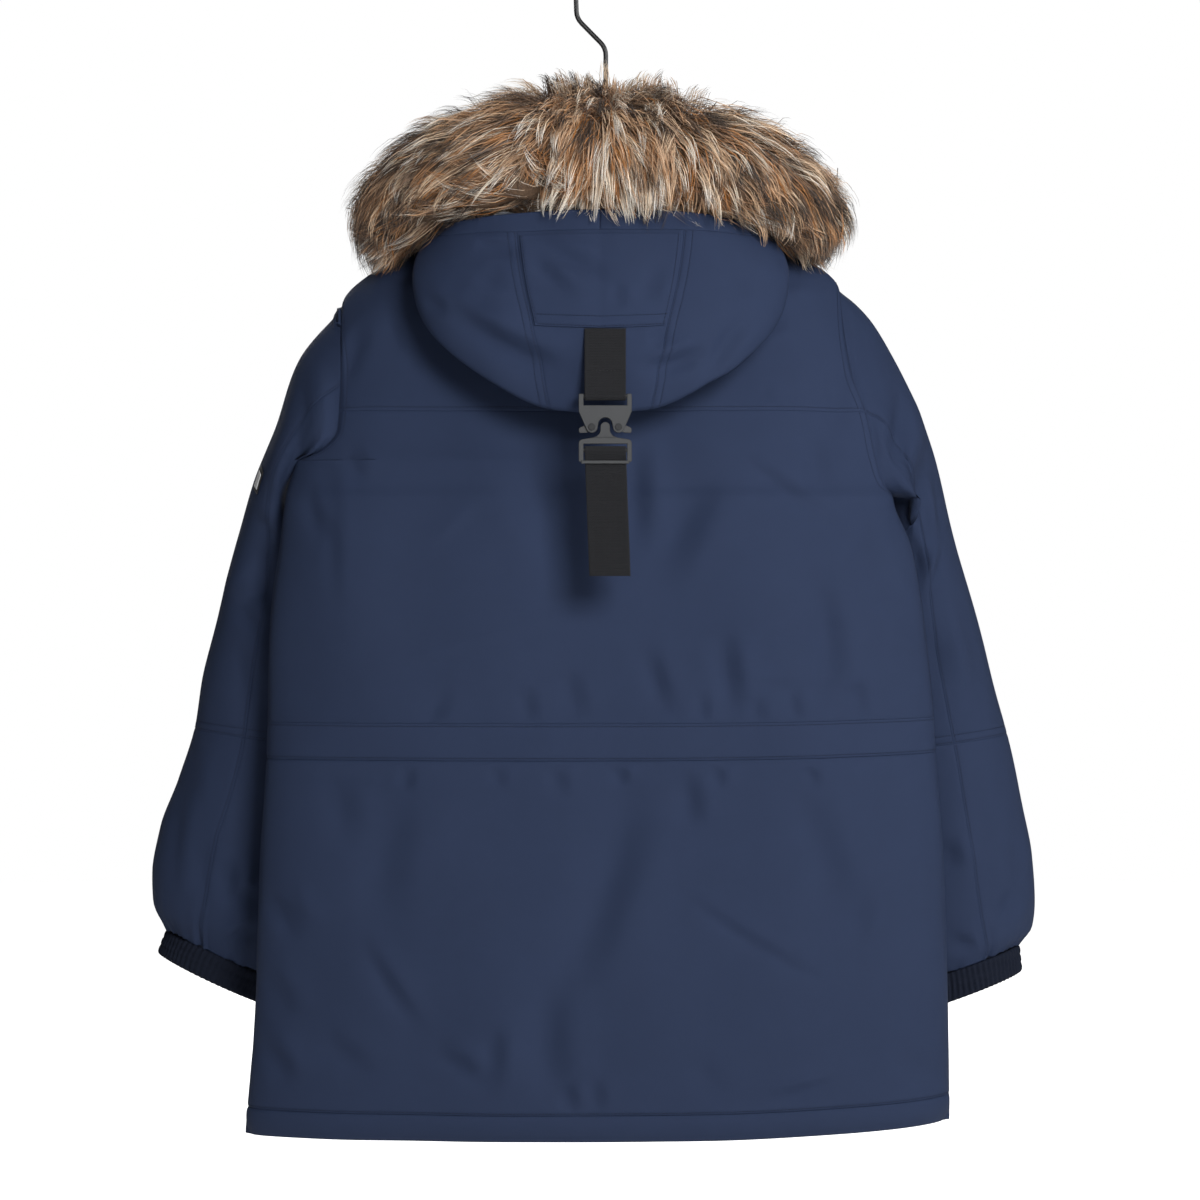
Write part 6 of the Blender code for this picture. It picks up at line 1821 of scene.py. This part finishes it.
END = math.radians(FUR[-1].angle)
bearing = np.linspace(-END, END, CORE_ROWS)[:, None]
turn = (np.arange(CORE_SIDES) * 2 * math.pi / CORE_SIDES)[None]
closing = np.sqrt(np.clip(1 - (np.abs(bearing) / END) ** 24, 0.02, 1))
bumps = 1 + 0.05 * np.sin(9 * bearing + 3 * turn) + 0.04 * np.sin(23 * bearing - 2 * turn)
low = CORE_LOW * np.clip(-np.sin(turn), 0, 1) * ease((1.9 - np.abs(bearing)) / 0.8)
core_points = fur_point(bearing, turn, (CORE_SHARE + low) * closing * bumps)
core_faces = grid_faces(CORE_ROWS, CORE_SIDES, CORE_SIDES)
core_faces.append(list(range(CORE_SIDES))[::-1])
core_faces.append(list(range((CORE_ROWS - 1) * CORE_SIDES, CORE_ROWS * CORE_SIDES)))
core_points = core_points.reshape(-1, 3)
core = mesh_piece("fur_wool", core_points, outward(core_points, core_faces), wool)
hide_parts("fur_trim")

# %% [markdown]
# ## Hair
# Three coats of hair make the pelt: short wool, guard hair that is tan with dark ends, and long
# pale guard hair, thickest at the middle of the lower edge. The colours run along each hair, from
# root to tip, and are kept as colours of the mesh, so that the exported coat has them too.

# %% Hair
Coat = namedtuple("Coat", "name tufts hairs start reach spread width wave")
HAIR_COATS = (
    Coat("fur_underhair", 1600, 16, 0.58, 0.86, 7.0, 0.85, 0.5),
    Coat("fur_guard_hair", 1700, 16, 0.60, 0.99, 5.0, 0.62, 0.9),
    Coat("fur_top_hair", 1500, 16, 0.64, 0.99, 5.0, 0.62, 0.9),
    Coat("fur_long_hair", 760, 12, 0.50, 1.08, 4.0, 0.42, 1.1),
)
PARTING = 118  # degrees round the section, where the hair parts towards the outside and the neck
COMB = 38  # degrees by which it is combed away from there
STATIONS = np.array([0.0, 0.6, 0.83, 1.0])
TAN = np.array((0.440, 0.225, 0.100))
SAND = np.array((0.640, 0.480, 0.330))
TAUPE = np.array((0.085, 0.052, 0.034))
DARK = np.array((0.018, 0.011, 0.008))
CREAM = np.array((0.800, 0.700, 0.560))
WHITE = np.array((0.900, 0.870, 0.820))
Hang = namedtuple("Hang", "angle fall")
HANGS = rows_of(
    Hang,
    (-150, 8), (-90, 12), (-60, 8), (-30, 14), (-8, 20), (6, 12), (20, -6), (45, -4), (60, 8),
    (90, 26), (150, 10),
)  # fmt: skip
TAPER = np.array([0.95, 0.9, 0.6, 0.0])  # a hair's width at its stations
FEW = 1.0


def patches(bearing, turn, seed, low=5, high=17):
    """Soft patches from -1 to 1 over the pelt, longer across it than along it."""
    draws = np.random.default_rng(seed)
    total = 0
    for _ in range(6):
        along, times = draws.uniform(low, high), draws.integers(0, high // 4)
        total = total + np.sin(along * bearing + times * turn + draws.uniform(0, 6.3))
    return total / 3


def combed(bearing, turn, draws):
    """Where a tuft's tip lies: bearing and turn, combed down from the crest and swayed by waves."""
    crest = np.radians(PARTING) + 0.25 * np.sin(2 * bearing + 0.6)
    away = np.arctan2(np.sin(crest - turn), np.cos(crest - turn))
    comb = np.radians(COMB) * np.tanh(away / 0.6)
    tip_turn = turn - comb * draws.uniform(0.55, 1.25, turn.shape)
    sway = 0.12 * patches(bearing, turn, 3) + 0.05 * draws.normal(size=turn.shape)
    fan = 0.22 * np.sin(bearing + 0.12) * ease((END - np.abs(bearing)) / 0.7)
    return bearing + sway + fan, tip_turn


def hair_colours(kind, bearing, turn, draws):
    """Colours of every tuft's stations: a taupe root, a tan or sandy length, a pale or dark end."""
    count = len(bearing)
    tufted = patches(bearing, turn, 21, 12, 34)
    dark = 1.3 * tufted + 0.7 * np.abs(np.sin(bearing)) ** 3 + draws.normal(size=count) * 0.3
    low_middle = np.exp(-((bearing / 0.45) ** 2)) * ease((np.radians(20) - turn) / 0.5)
    pale = 1.7 * low_middle + draws.normal(size=count) * 0.55 + 0.35 * patches(bearing, turn, 22)
    root = np.where((draws.uniform(size=count) < 0.5)[:, None], TAUPE, TAUPE * 2.2)
    middle = TAN + (SAND - TAN) * draws.uniform(0, 1, (count, 1)) ** 0.8
    tip = middle * 1.25
    near_tip = middle * 1.12
    cream = (pale > 0.25)[:, None]
    white = CREAM + (WHITE - CREAM) * draws.uniform(0, 1, (count, 1))
    tip = np.where(cream, white, tip)
    near_tip = np.where(cream, white * 0.9, near_tip)
    middle = np.where((pale > 0.9)[:, None], SAND * 1.2, middle)
    tipped = ((dark > 0.1) & (pale < 0.9))[:, None]
    tip = np.where(tipped, DARK, tip)
    near_tip = np.where(tipped, DARK * draws.uniform(1.0, 3.0, (count, 1)), near_tip)
    brown = ((dark > 0.5) & (pale < 0.6))[:, None]
    middle = np.where(brown, TAUPE * draws.uniform(0.4, 1.2, (count, 1)), middle)
    near_tip = np.where(brown, DARK * 1.4, near_tip)
    if kind == "fur_underhair":
        middle = TAN + (SAND - TAN) * draws.uniform(-0.4, 0.5, (count, 1))
        near_tip = middle * 0.95
        tip = middle * draws.uniform(0.7, 1.1, (count, 1))
    if kind == "fur_long_hair":
        black = (dark + 0.25 > pale * 0.6)[:, None]
        tip = np.where(black, DARK, WHITE)
        near_tip = np.where(black, DARK * 1.5, white)
        middle = np.where(black, middle * 0.6, CREAM)
    return np.stack([root, middle, near_tip, tip], 1)


def hair_mesh(coat, seed):
    """One mesh of all the hairs of one coat."""
    draws = np.random.default_rng(seed)
    tufts = int(coat.tufts * FEW)
    bearing = draws.uniform(-END * 0.985, END * 0.985, tufts)
    turn = draws.uniform(-math.pi, math.pi, tufts)
    if coat.name == "fur_top_hair":
        turn = np.radians(PARTING) + draws.normal(size=tufts) * 0.75
    tip_bearing, tip_turn = combed(bearing, turn, draws)
    root = fur_point(bearing, turn, coat.start)
    long = coat.reach * (1 + 0.13 * draws.normal(size=tufts) * coat.wave)
    long = np.clip(long, 0.75, 1.33)
    tip = fur_point(tip_bearing, tip_turn, long)
    rise = fur_point(bearing * 0.5 + tip_bearing * 0.5, turn * 0.65 + tip_turn * 0.35, long * 0.98)
    below = ease((np.radians(30) - tip_turn) / 1.0) * (np.cos(tip_turn) > -0.3)
    hang = below * column(HANGS, "angle", "fall", np.degrees(bearing))
    tip[:, 2] -= hang
    size = coat.hairs
    each = np.repeat(np.arange(tufts), size)
    count = len(each)
    offset = draws.normal(size=(count, 3)) * coat.spread
    closer = draws.uniform(0.45, 0.95, (count, 1))
    length = draws.uniform(0.72, 1.08, (count, 1))
    stations = []
    for share in STATIONS:
        s = share * length
        path = (1 - s) ** 2 * root[each] + 2 * s * (1 - s) * rise[each] + s**2 * tip[each]
        stations.append(path + offset * (1 - closer * s))
    stations = np.stack(stations, 1)
    centre = fur_point(bearing, 0 * turn, 0.0)[each][:, None]
    along = unit(np.gradient(stations, axis=1))
    aside = unit(np.cross(along, unit(stations - centre)))
    tilt = draws.uniform(-0.9, 0.9, (count, 1, 1))
    aside = unit(aside * np.cos(tilt) + np.cross(along, aside) * np.sin(tilt))
    thick = coat.width * draws.uniform(0.6, 1.3, (count, 1)) * TAPER[None] / 2
    left, right = stations - aside * thick[..., None], stations + aside * thick[..., None]
    points = np.concatenate([left, right[:, :-1]], 1)  # four on the left side, three on the right
    first = 7 * np.arange(count)[:, None, None]
    quads = (np.array([[k, k + 4, k + 5, k + 1] for k in range(2)])[None] + first).reshape(-1, 4)
    ends = (np.array([[2, 6, 3]])[None] + first).reshape(-1, 3)
    faces = quads.tolist() + ends.tolist()
    obj = mesh_piece(coat.name, points.reshape(-1, 3), faces, fur_hair)
    colours = hair_colours(coat.name, bearing, turn, draws)[each]
    colours = colours * draws.uniform(0.8, 1.2, (count, 1, 1))
    colours = np.concatenate([colours, colours[:, :-1]], 1)
    colours = np.clip(np.concatenate([colours, np.ones(colours.shape[:2] + (1,))], -1), 0, 1)
    layer = obj.data.color_attributes.new("hair", "FLOAT_COLOR", "POINT")
    layer.data.foreach_set("color", colours.astype(np.float32).ravel())
    print(coat.name, count, "hairs,", 5 * count, "triangles")
    return obj


for seed, coat in enumerate(HAIR_COATS):
    hair_mesh(coat, 100 + seed)

# %% [markdown]
# ## The cutting list
# Each piece of cloth is declared with the size it was cut to, so that a garment's pattern can be
# checked against it. The size of the finished coat is written down last.

# %% The cutting list
TAKE_UP = 1.01  # the flat piece against the sewn one, whose seams take up a hundredth
for name, (obj, width, length, area) in sheets.items():
    flat = (round(width * TAKE_UP, 3), round(length * TAKE_UP, 3))
